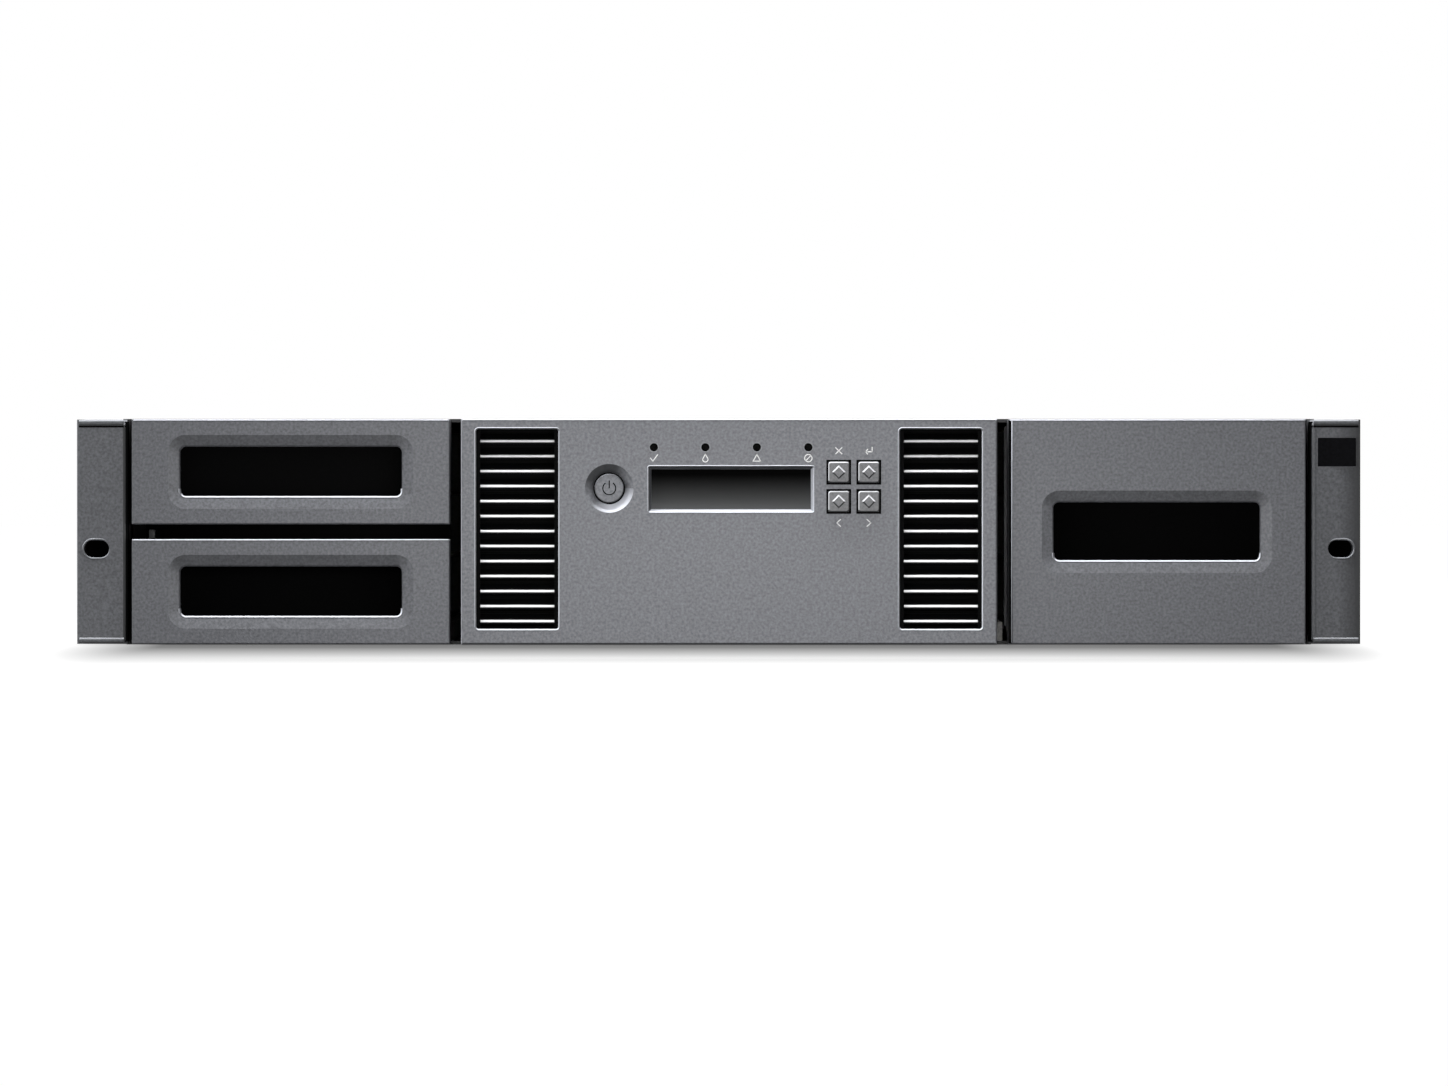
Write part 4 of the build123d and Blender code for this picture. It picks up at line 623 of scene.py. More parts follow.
def finishPiece(name, mesh, body, slotName, finish=None, sharpAngle=35.0):
    bmesh.ops.remove_doubles(mesh, verts=mesh.verts, dist=1e-7)
    bmesh.ops.recalc_face_normals(mesh, faces=mesh.faces)
    data = bpy.data.meshes.new(name)
    mesh.to_mesh(data)
    mesh.free()
    data.shade_smooth()
    data.set_sharp_from_angle(angle=math.radians(sharpAngle))
    data.materials.append(finish or finishes[slotName])
    piece = bpy.data.objects.new(name, data)
    bpy.context.collection.objects.link(piece)
    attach(piece, body)
    return piece


# printed ink: slightly raised, with thin spots
inkLook = {
    "colour": (0.8, 0.8, 0.79, 1.0),
    "thin": (0.62, 0.62, 0.62, 1.0),
    "rough": (0.45, 0.55),
}
whiteInk, tree, shader = newMaterial("whiteInk")
inkGrain = useGroup(tree, mouldGrain, Fine=4000.0, Coarse=1500.0)
inkColour = mixed(tree, inkGrain["Mottle"], inkLook["thin"], inkLook["colour"])
inkRough = ranged(tree, inkGrain["Pits"], 0.3, 0.7, *inkLook["rough"])
setSurface(tree, shader, inkColour, inkRough)

# power button: engraved ring with a bar, filled dark
powerSign = {"ring": 2.4 * mm, "stroke": 0.42 * mm, "bar": 2.5 * mm, "gap": 70, "depth": 0.06 * mm}
buttonLow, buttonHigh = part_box("power_button")
buttonX, buttonZ = frontMiddle(buttonLow, buttonHigh)
mesh = bmesh.new()
addRing(
    mesh,
    (buttonX, buttonLow.y, buttonZ),
    powerSign["ring"],
    powerSign["stroke"],
    powerSign["depth"],
    360 - powerSign["gap"],
    90 + powerSign["gap"] / 2,
    28,
)
barTop = buttonZ + powerSign["ring"] * 1.15
barEnds = (buttonX, barTop), (buttonX, barTop - powerSign["bar"])
addStroke(mesh, *barEnds, powerSign["stroke"], buttonLow.y, powerSign["depth"])
finishPiece("powerSign", mesh, "power_button", "pocket_black")
print("power sign made")

# small printed signs by the lamps and the keys
signs = {
    "size": 1.25 * mm,
    "stroke": 0.36 * mm,
    "depth": 0.06 * mm,
    "lampDrop": 4.05 * mm,
    "keyRise": 8.0 * mm,
}
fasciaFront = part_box("front_fascia")[0].y
mesh = bmesh.new()


def sign(x, z, strokes, ring=None):
    size = signs["size"]
    for start, end in strokes:
        startPoint = (x + start[0] * size, z + start[1] * size)
        endPoint = (x + end[0] * size, z + end[1] * size)
        addStroke(mesh, startPoint, endPoint, signs["stroke"], fasciaFront, signs["depth"])
    if ring:
        addRing(mesh, (x, fasciaFront, z), ring * size, signs["stroke"], signs["depth"])


lampLow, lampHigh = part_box("status_lamps")
lampRadius = (lampHigh.z - lampLow.z) / 2
lampZ = (lampLow.z + lampHigh.z) / 2
lampSpan = lampHigh.x - lampLow.x - 2 * lampRadius
lampXs = [lampLow.x + lampRadius + n * lampSpan / 3 for n in range(4)]
signZ = lampZ - signs["lampDrop"]
tick = (((-1, 0), (-0.3, -0.9)), ((-0.3, -0.9), (1.1, 1)))
drop = (((-0.75, -0.2), (0, 1.2)), ((0, 1.2), (0.75, -0.2)))
dropRing = {"lower": 0.35, "radius": 0.8, "sweep": 208, "start": 166, "steps": 16}
warning = (((-1.1, -0.9), (1.1, -0.9)), ((1.1, -0.9), (0, 1.1)), ((0, 1.1), (-1.1, -0.9)))
slash = (((-0.75, -0.75), (0.75, 0.75)),)
for lampX, strokes, ring in zip(lampXs, (tick, drop, warning, slash), (None, None, None, 1.1)):
    sign(lampX, signZ, strokes, ring)
addRing(
    mesh,
    (lampXs[1], fasciaFront, signZ - dropRing["lower"] * signs["size"]),
    dropRing["radius"] * signs["size"],
    signs["stroke"],
    signs["depth"],
    dropRing["sweep"],
    dropRing["start"],
    dropRing["steps"],
)
cross = (((-0.9, -0.9), (0.9, 0.9)), ((-0.9, 0.9), (0.9, -0.9)))
turnBack = (
    ((1, 1), (1, -0.3)),
    ((1, -0.3), (-1, -0.3)),
    ((-1, -0.3), (-0.4, 0.35)),
    ((-1, -0.3), (-0.4, -0.95)),
)
leftHook = (((0.5, 1), (-0.6, 0)), ((-0.6, 0), (0.5, -1)))
rightHook = (((-0.5, 1), (0.6, 0)), ((0.6, 0), (-0.5, -1)))
keySigns = {
    "cancel_key": (cross, 1),
    "enter_key": (turnBack, 1),
    "previous_key": (leftHook, -1),
    "next_key": (rightHook, -1),
}
for keyName, (strokes, side) in keySigns.items():
    keyX, keyZ = frontMiddle(*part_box(keyName))
    sign(keyX, keyZ + side * signs["keyRise"], strokes)
finishPiece("panelSigns", mesh, "library", "fascia_plastic", whiteInk)
print("panel signs made")

# rounded rims of the moulded openings and round the lamps, bright with a painted highlight
rims = {
    "bead": 0.45 * mm,
    "corner": 0.8 * mm,
    "ventBead": 0.5 * mm,
    "ventCorner": 1.4 * mm,
    "ventInset": (4.4 * mm, 1.6 * mm),
    "lampBead": 0.2 * mm,
    "lampGap": 0.25 * mm,
}
ventNames = ("left_vent_grille", "right_vent_grille")
mesh = bmesh.new()
for nodeName in ventNames:
    low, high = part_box(nodeName)
    width, height = high.x - low.x - rims["ventInset"][0], high.z - low.z - rims["ventInset"][1]
    rimY = fasciaFront + rims["ventBead"] * 0.8
    addRim(mesh, frontMiddle(low, high), width, height, rims["ventCorner"], rimY, rims["ventBead"])
width, height = lensHigh.x - lensLow.x, lensHigh.z - lensLow.z
rimY = fasciaFront + rims["bead"] * 0.8
addRim(mesh, frontMiddle(lensLow, lensHigh), width, height, rims["corner"], rimY, rims["bead"])
for lampX in lampXs:
    centre = (lampX, fasciaFront + rims["lampBead"] * 0.3, lampZ)
    size = 2 * rims["lampBead"]
    addRing(mesh, centre, lampRadius + rims["lampGap"], size, size, steps=24)
finishPiece("fasciaRims", mesh, "library", "fascia_plastic", finishes["fascia_lip"])

# rims of the rack slots in the ears, bright with a painted highlight
rackSlot = {"x": 232.55 * mm, "z": 35.95 * mm}
slotRim = {"size": (10.2 * mm, 7.2 * mm), "corner": 3.59 * mm, "sink": 0.6 * mm, "bead": 0.42 * mm}
mesh = bmesh.new()
for earName, side in (("left_ear_cap", -1), ("right_ear_cap", 1)):
    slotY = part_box(earName)[0].y + slotRim["sink"]
    centre = (side * rackSlot["x"], rackSlot["z"])
    addRim(mesh, centre, *slotRim["size"], slotRim["corner"], slotY, slotRim["bead"])
finishPiece("slotRims", mesh, "library", "ear_plastic", finishes["ear_lip"])

# beads along the upper edges of the panels, bright with a painted highlight
edgeBead = {
    "radius": 0.42 * mm,
    "inset": 0.4 * mm,
    "sink": 0.32 * mm,
    "shorter": 1.2 * mm,
    "bevel": 0.15 * mm,
}
for nodeName, bodyName, slotName, lip in (
    ("front_fascia", "library", "fascia_plastic", "fascia_lip"),
    ("mail_slot_panel", "mail_slot", "panel_plastic", "panel_lip"),
    ("left_magazine_panel", "left_magazine", "panel_plastic", "panel_lip"),
    ("right_magazine_panel", "right_magazine", "panel_plastic", "panel_lip"),
):
    mesh = bmesh.new()
    low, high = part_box(nodeName)
    place = ((low.x + high.x) / 2, low.y + edgeBead["sink"], high.z - edgeBead["inset"])
    length = high.x - low.x - edgeBead["shorter"]
    addRod(mesh, place, edgeBead["radius"], length, "X", 12, edgeBead["bevel"])
    finishPiece(nodeName + "_edgeBead", mesh, bodyName, slotName, finishes[lip], 60)

# painted shade: a dark strip down the inner edge of the right panel, with a painted highlight in
# the bright line beside it
edgeShade = {
    "width": 1.15 * mm,
    "proud": 0.05 * mm,
    "depth": 1.0 * mm,
    "inset": 0.3 * mm,
    "line": 0.32 * mm,
    "lineGap": 0.2 * mm,
    "lineSink": 0.1 * mm,
    "lineShorter": 1.2 * mm,
}
edgeShadeMesh, lineMesh = bmesh.new(), bmesh.new()
low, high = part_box("right_magazine_panel")
addBox(
    edgeShadeMesh,
    (low.x, low.y - edgeShade["proud"], low.z + edgeShade["inset"]),
    (low.x + edgeShade["width"], low.y + edgeShade["depth"], high.z - edgeShade["inset"]),
)
lineX = low.x + edgeShade["width"] + edgeShade["lineGap"]
place = (lineX, low.y + edgeShade["lineSink"], (low.z + high.z) / 2)
length = high.z - low.z - edgeShade["lineShorter"]
addRod(lineMesh, place, edgeShade["line"], length, "Z", 12, 0.1 * mm)
finishPiece("right_magazine_edgeShade", edgeShadeMesh, "right_magazine", "pocket_black")
finishPiece(
    "right_magazine_edgeHighlight", lineMesh, "right_magazine", "panel_plastic",
    finishes["panel_lip"], 60,
)

# lower lips of the grip openings, bright with a painted highlight
gripLip = {
    "frame": 6.9 * mm,
    "corner": 2.4 * mm,
    "sink": 1.85 * mm,
    "bead": 0.62 * mm,
    "rise": 3.4 * mm,
}
for bodyName in ("mail_slot", "left_magazine", "right_magazine"):
    mesh = bmesh.new()
    low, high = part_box(bodyName + "_grip")
    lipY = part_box(bodyName + "_panel")[0].y + gripLip["sink"]
    width, height = high.x - low.x - gripLip["frame"], high.z - low.z - gripLip["frame"]
    centre = frontMiddle(low, high)
    addRim(mesh, centre, width, height, gripLip["corner"], lipY, gripLip["bead"])
    cut = bmesh.ops.bisect_plane(
        mesh,
        geom=mesh.verts[:] + mesh.edges[:] + mesh.faces[:],
        plane_co=(0, 0, centre[1] - height / 2 + gripLip["rise"]),
        plane_no=(0, 0, 1),
        clear_outer=True,
    )
    cutEdges = picked(cut["geom_cut"], bmesh.types.BMEdge)
    bmesh.ops.holes_fill(mesh, edges=cutEdges, sides=0)
    finishPiece(bodyName + "_gripLip", mesh, bodyName, "panel_plastic", finishes["panel_lip"], 60)

# beads along the top and the bottom of the ears and down the right ear's inner edge, bright with a
# painted highlight; a dark painted shadow line under the upper one, and dark strips of painted
# shade down the inner edges
earBeads = {
    "crown": 1.4 * mm,
    "height": 1.1 * mm,
    "depth": 0.55 * mm,
    "sink": 0.2 * mm,
    "top": 1.15 * mm,
    "bottom": 1.35 * mm,
    "steps": 12,
    "span": (0.09, 0.87),
}
earShadowLine = {"drop": 1.45 * mm, "depth": 0.38 * mm, "height": 0.5 * mm}
earGapShade = {"radius": 0.95 * mm, "inset": 0.75 * mm, "sink": 1.25 * mm, "shorter": 1.6 * mm}
innerRoll = {
    "inset": 2.1 * mm,
    "sink": 0.25 * mm,
    "ends": (3.6 * mm, 3.4 * mm),
    "depth": 0.5 * mm,
    "height": 0.8 * mm,
}
beadMesh, earShadeMesh = bmesh.new(), bmesh.new()
for earName, side in (("left_ear_cap", -1), ("right_ear_cap", 1)):
    low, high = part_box(earName)
    inner, outer = (high.x, low.x) if side < 0 else (low.x, high.x)
    for level, shadowLined in ((high.z - earBeads["top"], True), (low.z + earBeads["bottom"], False)):
        path = []
        for n in range(earBeads["steps"] + 1):
            share = earBeads["span"][0] + earBeads["span"][1] * n / earBeads["steps"]
            pathY = low.y + earBeads["crown"] * share ** 2 + earBeads["sink"]
            path.append(Vector((inner + (outer - inner) * share, pathY, level)))
        addSweep(beadMesh, path, earBeads["depth"], earBeads["height"])
        if shadowLined:
            lowered = [point - Vector((0, 0, earShadowLine["drop"])) for point in path]
            addSweep(earShadeMesh, lowered, earShadowLine["depth"], earShadowLine["height"], 8)
    if side > 0:
        rollX, rollY = inner + innerRoll["inset"], low.y + innerRoll["sink"]
        rollEnds = [
            Vector((rollX, rollY, low.z + innerRoll["ends"][0])),
            Vector((rollX, rollY, high.z - innerRoll["ends"][1])),
        ]
        addSweep(beadMesh, rollEnds, innerRoll["depth"], innerRoll["height"], facing="Z")
    earGapShadeX = inner + side * earGapShade["inset"]
    place = (earGapShadeX, low.y + earGapShade["sink"], (low.z + high.z) / 2)
    length = high.z - low.z - earGapShade["shorter"]
    addRod(earShadeMesh, place, earGapShade["radius"], length, "Z", 16, 0.2 * mm)
finishPiece("earBeads", beadMesh, "library", "ear_plastic", finishes["ear_lip"], 50)
finishPiece("earShadeStrips", earShadeMesh, "library", "pocket_black")
print("grip lips and ear beads made")

# painted shade: dark strips round the keys, and a dark ring round the power button, in the gaps
keyGapShade = {"width": 0.75 * mm, "depth": 0.06 * mm, "half": 4.25 * mm}
buttonGapShade = {"radius": 5.7 * mm, "width": 0.5 * mm, "depth": 0.3 * mm, "proud": 0.02 * mm}
mesh = bmesh.new()
for keyName in keySigns:
    keyX, keyZ = frontMiddle(*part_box(keyName))
    left, right = keyX - keyGapShade["half"], keyX + keyGapShade["half"]
    bottom, top = keyZ - keyGapShade["half"], keyZ + keyGapShade["half"]
    for start, end in (
        ((left, bottom), (right, bottom)),
        ((left, bottom), (left, top)),
        ((left, top), (right, top)),
        ((right, bottom), (right, top)),
    ):
        addStroke(mesh, start, end, keyGapShade["width"], fasciaFront, keyGapShade["depth"])
centre = (buttonX, buttonLow.y - buttonGapShade["proud"], buttonZ)
addRing(mesh, centre, buttonGapShade["radius"], buttonGapShade["width"], buttonGapShade["depth"], steps=48)
finishPiece("keyGapShades", mesh, "library", "pocket_black")

# painted shade: dark screens behind the vent fins, with dark walls and cheeks beside them
ventShade = {
    "thickness": 1.0 * mm,
    "wall": 2.3 * mm,
    "wallSink": 2.1 * mm,
    "cheek": 2.0 * mm,
    "cheekInset": 2.2 * mm,
    "cheekSink": (0.7 * mm, 1.5 * mm),
    "cheekShorter": 0.8 * mm,
}
mesh = bmesh.new()
for nodeName in ventNames:
    low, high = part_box(nodeName)
    addBox(mesh, (low.x, high.y, low.z), (high.x, high.y + ventShade["thickness"], high.z))
    for side in (low.x, high.x - ventShade["wall"]):
        wallLow = (side, fasciaFront + ventShade["wallSink"], low.z)
        addBox(mesh, wallLow, (side + ventShade["wall"], high.y, high.z))
    cheekLowY, cheekHighY = (fasciaFront + sink for sink in ventShade["cheekSink"])
    cheekLowZ, cheekHighZ = low.z + ventShade["cheekShorter"], high.z - ventShade["cheekShorter"]
    inset = ventShade["cheekInset"]
    for side in (low.x + inset, high.x - inset - ventShade["cheek"]):
        cheekHigh = (side + ventShade["cheek"], cheekHighY, cheekHighZ)
        addBox(mesh, (side, cheekLowY, cheekLowZ), cheekHigh)
finishPiece("ventShades", mesh, "library", "pocket_black")
print("rims, wells and screens made")

# painted shade: a dark sheet on the left magazine's front wall, seen through the gap between the
# panels, and a dark block at the gap's left end
gapShade = {"overlap": 4.0 * mm, "thickness": 0.8 * mm, "inset": 1.0 * mm, "ahead": 0.8 * mm}
gapEndShade = {"out": 0.3 * mm, "width": 4 * mm, "sink": (14.4 * mm, 15.9 * mm), "gap": 0.1 * mm}
lowerLow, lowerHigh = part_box("left_magazine_panel")
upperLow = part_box("mail_slot_panel")[0]
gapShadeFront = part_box("left_cell_block_1")[0].y - gapShade["ahead"] - gapShade["thickness"]
gapShadeLow = (lowerLow.x + gapShade["inset"], gapShadeFront, lowerHigh.z - gapShade["overlap"])
gapShadeHigh = (
    lowerHigh.x - gapShade["inset"],
    gapShadeFront + gapShade["thickness"],
    upperLow.z + gapShade["overlap"],
)
gapEndFront, gapEndBack = (lowerLow.y + sink for sink in gapEndShade["sink"])
mesh = bmesh.new()
addBox(mesh, gapShadeLow, gapShadeHigh, 0.2 * mm)
addBox(
    mesh,
    (lowerLow.x - gapEndShade["out"], gapEndFront, lowerHigh.z),
    (lowerLow.x + gapEndShade["width"], gapEndBack, upperLow.z - gapEndShade["gap"]),
)
finishPiece("gapShade", mesh, "left_magazine", "pocket_black")

# small tab in the same gap
lockTab = {"inset": 6.2 * mm, "sink": 3 * mm, "overlap": 0.3 * mm, "size": (2.2, 3.2, 3.6)}
tabX, tabY = lowerLow.x + lockTab["inset"], lowerLow.y + lockTab["sink"]
tabWidth, tabDepth, tabRise = (size * mm for size in lockTab["size"])
mesh = bmesh.new()
addBox(
    mesh,
    (tabX, tabY, lowerHigh.z - lockTab["overlap"]),
    (tabX + tabWidth, tabY + tabDepth, lowerHigh.z + tabRise),
    0.4 * mm,
)
finishPiece("lockTab", mesh, "left_magazine", "panel_plastic", finishes["runner_plastic"])

# painted shade: dark cups clipped behind the rack slots
slotShadeCup = {"size": (11.6 * mm, 8.6 * mm), "depth": 3.0 * mm, "wall": 0.8 * mm, "plate": 2.0 * mm}
mesh = bmesh.new()
for bracketName, side in (("left_ear_bracket", -1), ("right_ear_bracket", 1)):
    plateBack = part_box(bracketName)[0].y + slotShadeCup["plate"]
    centre = Vector((side * rackSlot["x"], plateBack + slotShadeCup["depth"] / 2, rackSlot["z"]))
    half = Vector((slotShadeCup["size"][0], slotShadeCup["depth"], slotShadeCup["size"][1])) / 2
    addBox(mesh, centre - half, centre + half)
cupFronts = [face for face in mesh.faces if face.normal.y < -0.9]
bmesh.ops.inset_region(mesh, faces=cupFronts, thickness=slotShadeCup["wall"])
cupVerts = list({vert for face in cupFronts for vert in face.verts})
bmesh.ops.translate(mesh, vec=(0, slotShadeCup["depth"] - slotShadeCup["wall"], 0), verts=cupVerts)
finishPiece("slotShadeCups", mesh, "library", "pocket_black")
print("seal, tab and slot cups made")

# cross recesses in the cover screws, drawn as thin dark crosses of painted shade
crossCut = {"length": 3.4 * mm, "width": 0.7 * mm, "depth": 0.04 * mm, "inset": 3.4 * mm}
screwLow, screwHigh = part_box("cover_screws")
screwZ = (screwLow.z + screwHigh.z) / 2
screwSpan = screwHigh.y - screwLow.y - 2 * crossCut["inset"]
mesh = bmesh.new()
for screwX in (screwLow.x, screwHigh.x):
    for n in range(4):
        centre = (screwX, screwLow.y + crossCut["inset"] + n * screwSpan / 3, screwZ)
        addCross(mesh, centre, "X", crossCut)
finishPiece("coverScrewCrosses", mesh, "library", "pocket_black")

# blanking plate over the spare drive bay, with a lip and rows of dots
rearLow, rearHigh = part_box("rear_panel")
carrierLow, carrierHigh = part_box("drive_carrier")
supplyLow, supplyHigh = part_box("power_supply")
rearY = rearHigh.y
blankPlate = {
    "low": carrierHigh.z + 1.2 * mm,
    "high": rearHigh.z - 2.5 * mm,
    "thickness": 1.0 * mm,
    "columns": 22,
    "rows": 3,
    "pitch": 5.0 * mm,
    "dot": (1.8 * mm, 0.06 * mm),
    "dotRise": 8 * mm,
}
blankLip = {"inset": 20 * mm, "below": (6 * mm, 3.5 * mm), "thickness": 2.2 * mm}
plateFace = rearY + blankPlate["thickness"]
lipLowZ, lipHighZ = (blankPlate["high"] - below for below in blankLip["below"])
mesh = bmesh.new()
addBox(
    mesh,
    (carrierLow.x, rearY, blankPlate["low"]),
    (carrierHigh.x, plateFace, blankPlate["high"]),
    0.4 * mm,
)
addBox(
    mesh,
    (carrierLow.x + blankLip["inset"], rearY, lipLowZ),
    (carrierHigh.x - blankLip["inset"], rearY + blankLip["thickness"], lipHighZ),
    0.7 * mm,
)
finishPiece("bayBlank", mesh, "library", "body_metal")
mesh = bmesh.new()
blankMiddle = (carrierLow.x + carrierHigh.x) / 2
for column in range(blankPlate["columns"]):
    dotX = blankMiddle + (column - (blankPlate["columns"] - 1) / 2) * blankPlate["pitch"]
    for row in range(blankPlate["rows"]):
        dotZ = blankPlate["low"] + blankPlate["dotRise"] + row * blankPlate["pitch"]
        addRod(mesh, (dotX, plateFace, dotZ), *blankPlate["dot"], "Y", 6)
finishPiece("bayBlankVents", mesh, "library", "pocket_black")

# screws of the rear panel, the blanking plate, the supply and the fan
rearScrews = {"radius": 2.7 * mm, "height": 1.5 * mm, "bevel": 0.5 * mm, "edge": 5 * mm}
# the dark crosses on the screw heads are painted shade for their cross recesses
rearCross = {"length": 3.2 * mm, "width": 0.6 * mm, "depth": 0.07 * mm, "sink": 0.03 * mm}
fanScrewReach = 25 * mm
plateZ = (blankPlate["low"] + blankPlate["high"]) / 2
fanX, fanZ = frontMiddle(*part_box("fan_frame"))
screwSpots = [
    (rearLow.x + rearScrews["edge"], 76 * mm, 0),
    (rearHigh.x - rearScrews["edge"], 76 * mm, 0),
    (rearHigh.x - rearScrews["edge"], 7 * mm, 0),
    (-120 * mm, 76 * mm, 0),
    (126 * mm, 76 * mm, 0),
    (carrierLow.x + 6 * mm, plateZ, blankPlate["thickness"]),
    (carrierHigh.x - 6 * mm, plateZ, blankPlate["thickness"]),
    (supplyLow.x + 60 * mm, supplyHigh.z + 6 * mm, 0),
]
screwSpots += [
    (fanX + sideX * fanScrewReach, fanZ + sideZ * fanScrewReach, 0)
    for sideX in (-1, 1)
    for sideZ in (-1, 1)
]
screwMesh, crossMesh = bmesh.new(), bmesh.new()
for spotX, spotZ, lift in screwSpots:
    place = (spotX, rearY + lift + rearScrews["height"] / 2, spotZ)
    addRod(
        screwMesh, place, rearScrews["radius"], rearScrews["height"], "Y", 20, rearScrews["bevel"]
    )
    centre = (spotX, rearY + lift + rearScrews["height"] - rearCross["sink"], spotZ)
    addCross(crossMesh, centre, "Y", rearCross)

# screws that hold the ear brackets to the chassis
earScrews = {"radius": 3.4 * mm, "height": 1.0 * mm, "bevel": 0.35 * mm, "inset": 12 * mm}
# dark crosses of painted shade for the recesses of these screws too
earCross = {"length": 4.0 * mm, "width": 0.7 * mm, "depth": 0.05 * mm}
for bracketName, side in (("left_ear_bracket", -1), ("right_ear_bracket", 1)):
    low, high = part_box(bracketName)
    legVerts = cadNodes[bracketName].data.vertices
    legX = max(side * vert.co.x for vert in legVerts if vert.co.y > high.y - 3 * mm)
    screwY = high.y - earScrews["inset"]
    for share in (0.25, 0.75):
        spotZ = low.z + (high.z - low.z) * share
        place = (side * (legX + earScrews["height"] / 2), screwY, spotZ)
        addRod(
            screwMesh, place, earScrews["radius"], earScrews["height"], "X", 24, earScrews["bevel"]
        )
        centre = (side * (legX + earScrews["height"]), screwY, spotZ)
        addCross(crossMesh, centre, "X", earCross)
finishPiece("rearScrews", screwMesh, "library", "fastener")
finishPiece("rearScrewCrosses", crossMesh, "library", "pocket_black")
print("screws and bay blank made")

# plate, shells, contacts and lights of the controller card's ports
ports = {
    "left": 87.65 * mm,
    "right": 113.25 * mm,
    "middle": 100.45 * mm,
    "z": 42.3 * mm,
    "pitch": 19.0 * mm,
    "mouth": (12.5 * mm, 9.5 * mm),
    "plate": 0.6 * mm,
    "rise": 32.6 * mm,
    "shell": 0.4 * mm,
    "shellReach": (8 * mm, 1.0 * mm),
}
portPin = {"count": 8, "pitch": 1.02 * mm, "half": 0.22 * mm, "reach": (9 * mm, 2 * mm)}
portPin["below"] = (1.6 * mm, 1.2 * mm)
portLight = {"span": (0.6 * mm, 2.8 * mm), "proud": 0.9 * mm, "above": (0.6 * mm, 2.2 * mm)}
plateBack = rearLow.y
plateFront = plateBack + ports["plate"]
mouthX, mouthZ = ports["mouth"][0] / 2, ports["mouth"][1] / 2
mouthLeft, mouthRight = ports["middle"] - mouthX, ports["middle"] + mouthX
portZs = [ports["z"] + row * ports["pitch"] for row in (-1, 0, 1)]
plateLow, plateHigh = ports["z"] - ports["rise"], ports["z"] + ports["rise"]
mesh = bmesh.new()
for left, right in ((ports["left"], mouthLeft), (mouthRight, ports["right"])):
    addBox(mesh, (left, plateBack, plateLow), (right, plateFront, plateHigh))
levels = [plateLow]
for portZ in portZs:
    levels += [portZ - mouthZ, portZ + mouthZ]
levels.append(plateHigh)
for low, high in zip(levels[::2], levels[1::2]):
    addBox(mesh, (mouthLeft, plateBack, low), (mouthRight, plateFront, high))
finishPiece("portPlate", mesh, "library", "drive_metal")

shellMesh, contactMesh, greenMesh, amberMesh = (bmesh.new() for n in range(4))
shellBack, shellFront = plateBack - ports["shellReach"][0], plateBack + ports["shellReach"][1]
pinBack, pinFront = (plateBack - reach for reach in portPin["reach"])
for portZ in portZs:
    bottom, top = portZ - mouthZ, portZ + mouthZ
    for left, right, low, high in (
        (mouthLeft, mouthLeft + ports["shell"], bottom, top),
        (mouthLeft, mouthRight, bottom, bottom + ports["shell"]),
        (mouthRight - ports["shell"], mouthRight, bottom, top),
        (mouthLeft, mouthRight, top - ports["shell"], top),
    ):
        addBox(shellMesh, (left, shellBack, low), (right, shellFront, high))
    pinLow, pinHigh = (top - below for below in portPin["below"])
    for pin in range(portPin["count"]):
        pinX = ports["middle"] + (pin - (portPin["count"] - 1) / 2) * portPin["pitch"]
        pinLeft, pinRight = pinX - portPin["half"], pinX + portPin["half"]
        addBox(contactMesh, (pinLeft, pinBack, pinLow), (pinRight, pinFront, pinHigh))
    lightLow, lightHigh = (top + above for above in portLight["above"])
    near, far = portLight["span"]
    for lightMesh, left, right in (
        (greenMesh, mouthLeft + near, mouthLeft + far),
        (amberMesh, mouthRight - far, mouthRight - near),
    ):
        lightCorner = (right, plateBack + portLight["proud"], lightHigh)
        addBox(lightMesh, (left, plateBack, lightLow), lightCorner, 0.2 * mm)

# small lamps of the drive and the supply
driveLamp = {"xs": (22 * mm, 28 * mm), "radius": 1.1 * mm, "length": 1.6 * mm}
supplyLamp = {"radius": 1.4 * mm, "length": 1.8 * mm}
driveLampMesh = bmesh.new()
for inset in driveLamp["xs"]:
    place = (carrierLow.x + inset, carrierHigh.y - 8.6 * mm, carrierHigh.z - 5 * mm)
    addRod(driveLampMesh, place, driveLamp["radius"], driveLamp["length"], "Y", 16, 0.3 * mm)
place = (supplyLow.x + 48 * mm, rearY - 0.6 * mm, supplyHigh.z - 10 * mm)
addRod(greenMesh, place, supplyLamp["radius"], supplyLamp["length"], "Y", 16, 0.3 * mm)
contactLook = {"colour": (0.8, 0.58, 0.24), "rough": 0.25, "spangle": 0.0}
contactGold = metalFinish("contactGold", contactLook)
lensLooks = {"greenLens": (0.02, 0.3, 0.07), "amberLens": (0.5, 0.22, 0.02)}
lensFinishes = {
    name: mouldedFinish(name, {"colour": colour, "worn": 1.1, "rough": 0.2, "depth": 0.0})
    for name, colour in lensLooks.items()
}
finishPiece("portShells", shellMesh, "library", "steel")
finishPiece("portContacts", contactMesh, "library", "steel", contactGold)
finishPiece("greenLights", greenMesh, "library", "lamp_clear", lensFinishes["greenLens"])
finishPiece("driveLamps", driveLampMesh, "drive", "lamp_clear", lensFinishes["greenLens"])
finishPiece("amberLights", amberMesh, "library", "lamp_clear", lensFinishes["amberLens"])
print("port details made")

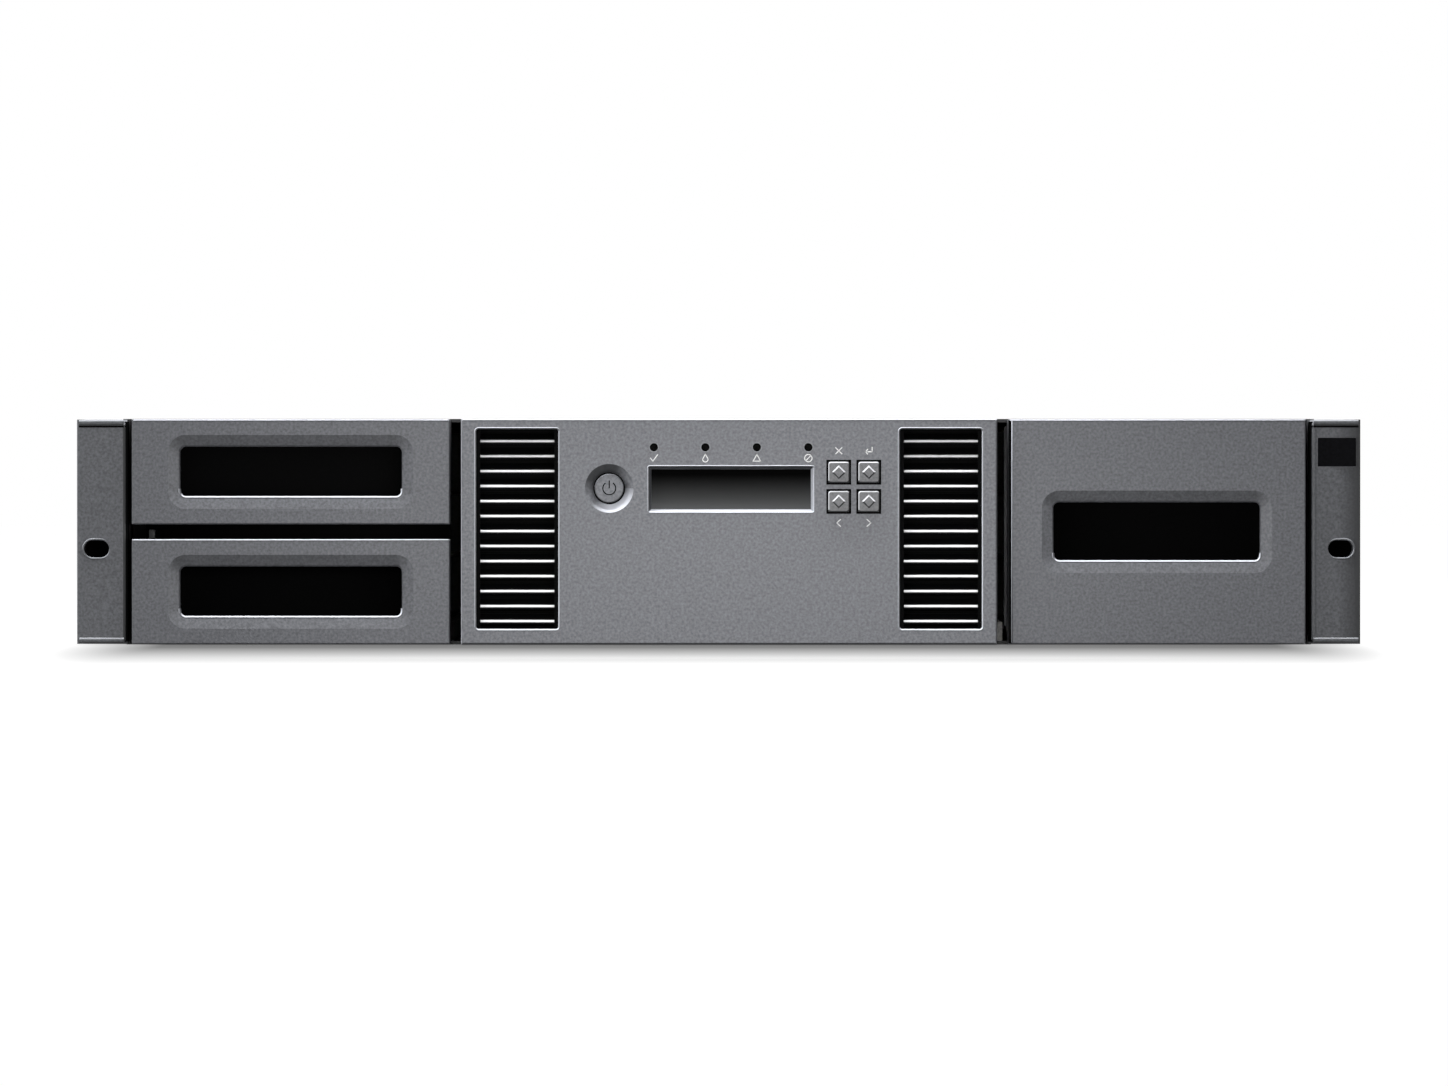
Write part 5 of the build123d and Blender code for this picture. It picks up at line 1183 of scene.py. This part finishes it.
# knurling on the drive's thumbscrews
knurl = {"radius": 4.5 * mm, "ridges": 28, "size": 0.5 * mm, "length": 5.0 * mm, "sink": 3.4 * mm}
thumbLow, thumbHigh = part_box("drive_thumbscrews")
knobZ = (thumbLow.z + thumbHigh.z) / 2
mesh = bmesh.new()
for knobX in (thumbLow.x + knurl["radius"], thumbHigh.x - knurl["radius"]):
    for n in range(knurl["ridges"]):
        turn = 2 * math.pi * n / knurl["ridges"]
        ridgeX = knobX + knurl["radius"] * math.cos(turn)
        ridgeZ = knobZ + knurl["radius"] * math.sin(turn)
        ridge = (ridgeX, thumbHigh.y - knurl["sink"], ridgeZ)
        addRod(mesh, ridge, knurl["size"] / 2, knurl["length"], "Y", 6)
finishPiece("thumbscrewKnurls", mesh, "drive", "fastener")

# threads of the two lead screws
thread = {
    "pitch": 2.0 * mm,
    "core": 2.45 * mm,
    "root": 2.35 * mm,
    "crest": 3.0 * mm,
    "rise": (0.2 * mm, 0.8 * mm, 1.1 * mm, 1.7 * mm),
    "perTurn": 14,
}
for screwName in ("left_lead_screw", "right_lead_screw"):
    low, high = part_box(screwName)
    axisX, axisY = (low.x + high.x) / 2, (low.y + high.y) / 2
    height = high.z - low.z
    mesh = bmesh.new()
    place = (axisX, axisY, (low.z + high.z) / 2)
    addRod(mesh, place, thread["core"], height, "Z", 20, 0.3 * mm)
    radii = (thread["root"], thread["crest"], thread["crest"], thread["root"])
    ridge = [
        mesh.verts.new((axisX + radius, axisY, low.z + rise))
        for radius, rise in zip(radii, thread["rise"])
    ]
    face = mesh.faces.new(ridge)
    turns = int((height - 2 * thread["pitch"]) / thread["pitch"])
    bmesh.ops.spin(
        mesh,
        geom=[face] + ridge + list(face.edges),
        cent=(axisX, axisY, 0),
        axis=(0, 0, 1),
        dvec=(0, 0, thread["pitch"] / thread["perTurn"]),
        angle=2 * math.pi * turns,
        steps=turns * thread["perTurn"],
    )
    bodyName = screwName.replace("_lead", "")
    screwPiece = finishPiece(screwName + "_threaded", mesh, bodyName, "steel")
    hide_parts(screwName)
    top = max(vert.co.z for vert in screwPiece.data.vertices)
    print(screwName, "threaded, top at", round(top * 1000, 2))
print("knurls and threads made")


# 1 for the rays that show a surface in the picture, 0 for those that only light others
def seenDirectly(tree):
    seen = addNode(tree, "LightPath").outputs
    direct = maths(tree, "MAXIMUM", seen["Is Camera Ray"], seen["Is Glossy Ray"])
    return maths(tree, "MAXIMUM", direct, seen["Is Transmission Ray"])


# floor: pale, with a painted shadow near the foot of the part, where its glow fades out
floorLook = {
    "size": 14.0,
    "bounce": (0.45, 0.45, 0.45, 1.0),
    "seen": (0.06, 0.06, 0.06, 1.0),
    "rough": 0.9,
    "middle": (0.0, 0.04, 0.0),
    "footprint": (0.205, 0.375, 0.0),
    "narrowing": (8.0, 1.0, 0.0),
    "reach": (0.02, 0.31),
    "glow": (0.14, 1.0),
}
mesh = bmesh.new()
bmesh.ops.create_grid(mesh, x_segments=1, y_segments=1, size=floorLook["size"] / 2)
floorData = bpy.data.meshes.new("floor")
mesh.to_mesh(floorData)
mesh.free()
floor = bpy.data.objects.new("floor", floorData)
bpy.context.collection.objects.link(floor)
material, tree, shader = newMaterial("paleFloor")
around = vectorMaths(tree, "ADD", objectPlace(tree), floorLook["middle"])
around = vectorMaths(tree, "ABSOLUTE", around)
around = vectorMaths(tree, "SUBTRACT", around, floorLook["footprint"])
around = vectorMaths(tree, "MAXIMUM", around, (0, 0, 0))
around = vectorMaths(tree, "MULTIPLY", around, floorLook["narrowing"])
away = vectorMaths(tree, "LENGTH", around, output="Value")
# painted shadow: the glow fades out towards the footprint
glow = ranged(tree, away, *floorLook["reach"], *floorLook["glow"])
direct = seenDirectly(tree)
floorColour = mixed(tree, direct, floorLook["bounce"], floorLook["seen"])
setSurface(tree, shader, floorColour, floorLook["rough"], 0.0)
shader.inputs["Emission Color"].default_value = white
feed(tree, shader.inputs["Emission Strength"], times(tree, glow, direct))
floorData.materials.append(material)

# backdrop: plain white where it is seen, and nearly no light of its own
skyLook = {"ambient": 0.04, "seen": 1.0}
backdrop = bpy.data.worlds.new("backdrop")
bpy.context.scene.world = backdrop
backdrop.use_nodes = True
tree = backdrop.node_tree
sky = tree.nodes["Background"]
sky.inputs["Color"].default_value = white
skyStrength = ranged(tree, seenDirectly(tree), 0.0, 1.0, skyLook["ambient"], skyLook["seen"])
feed(tree, sky.inputs["Strength"], skyStrength)
print("floor and backdrop made")
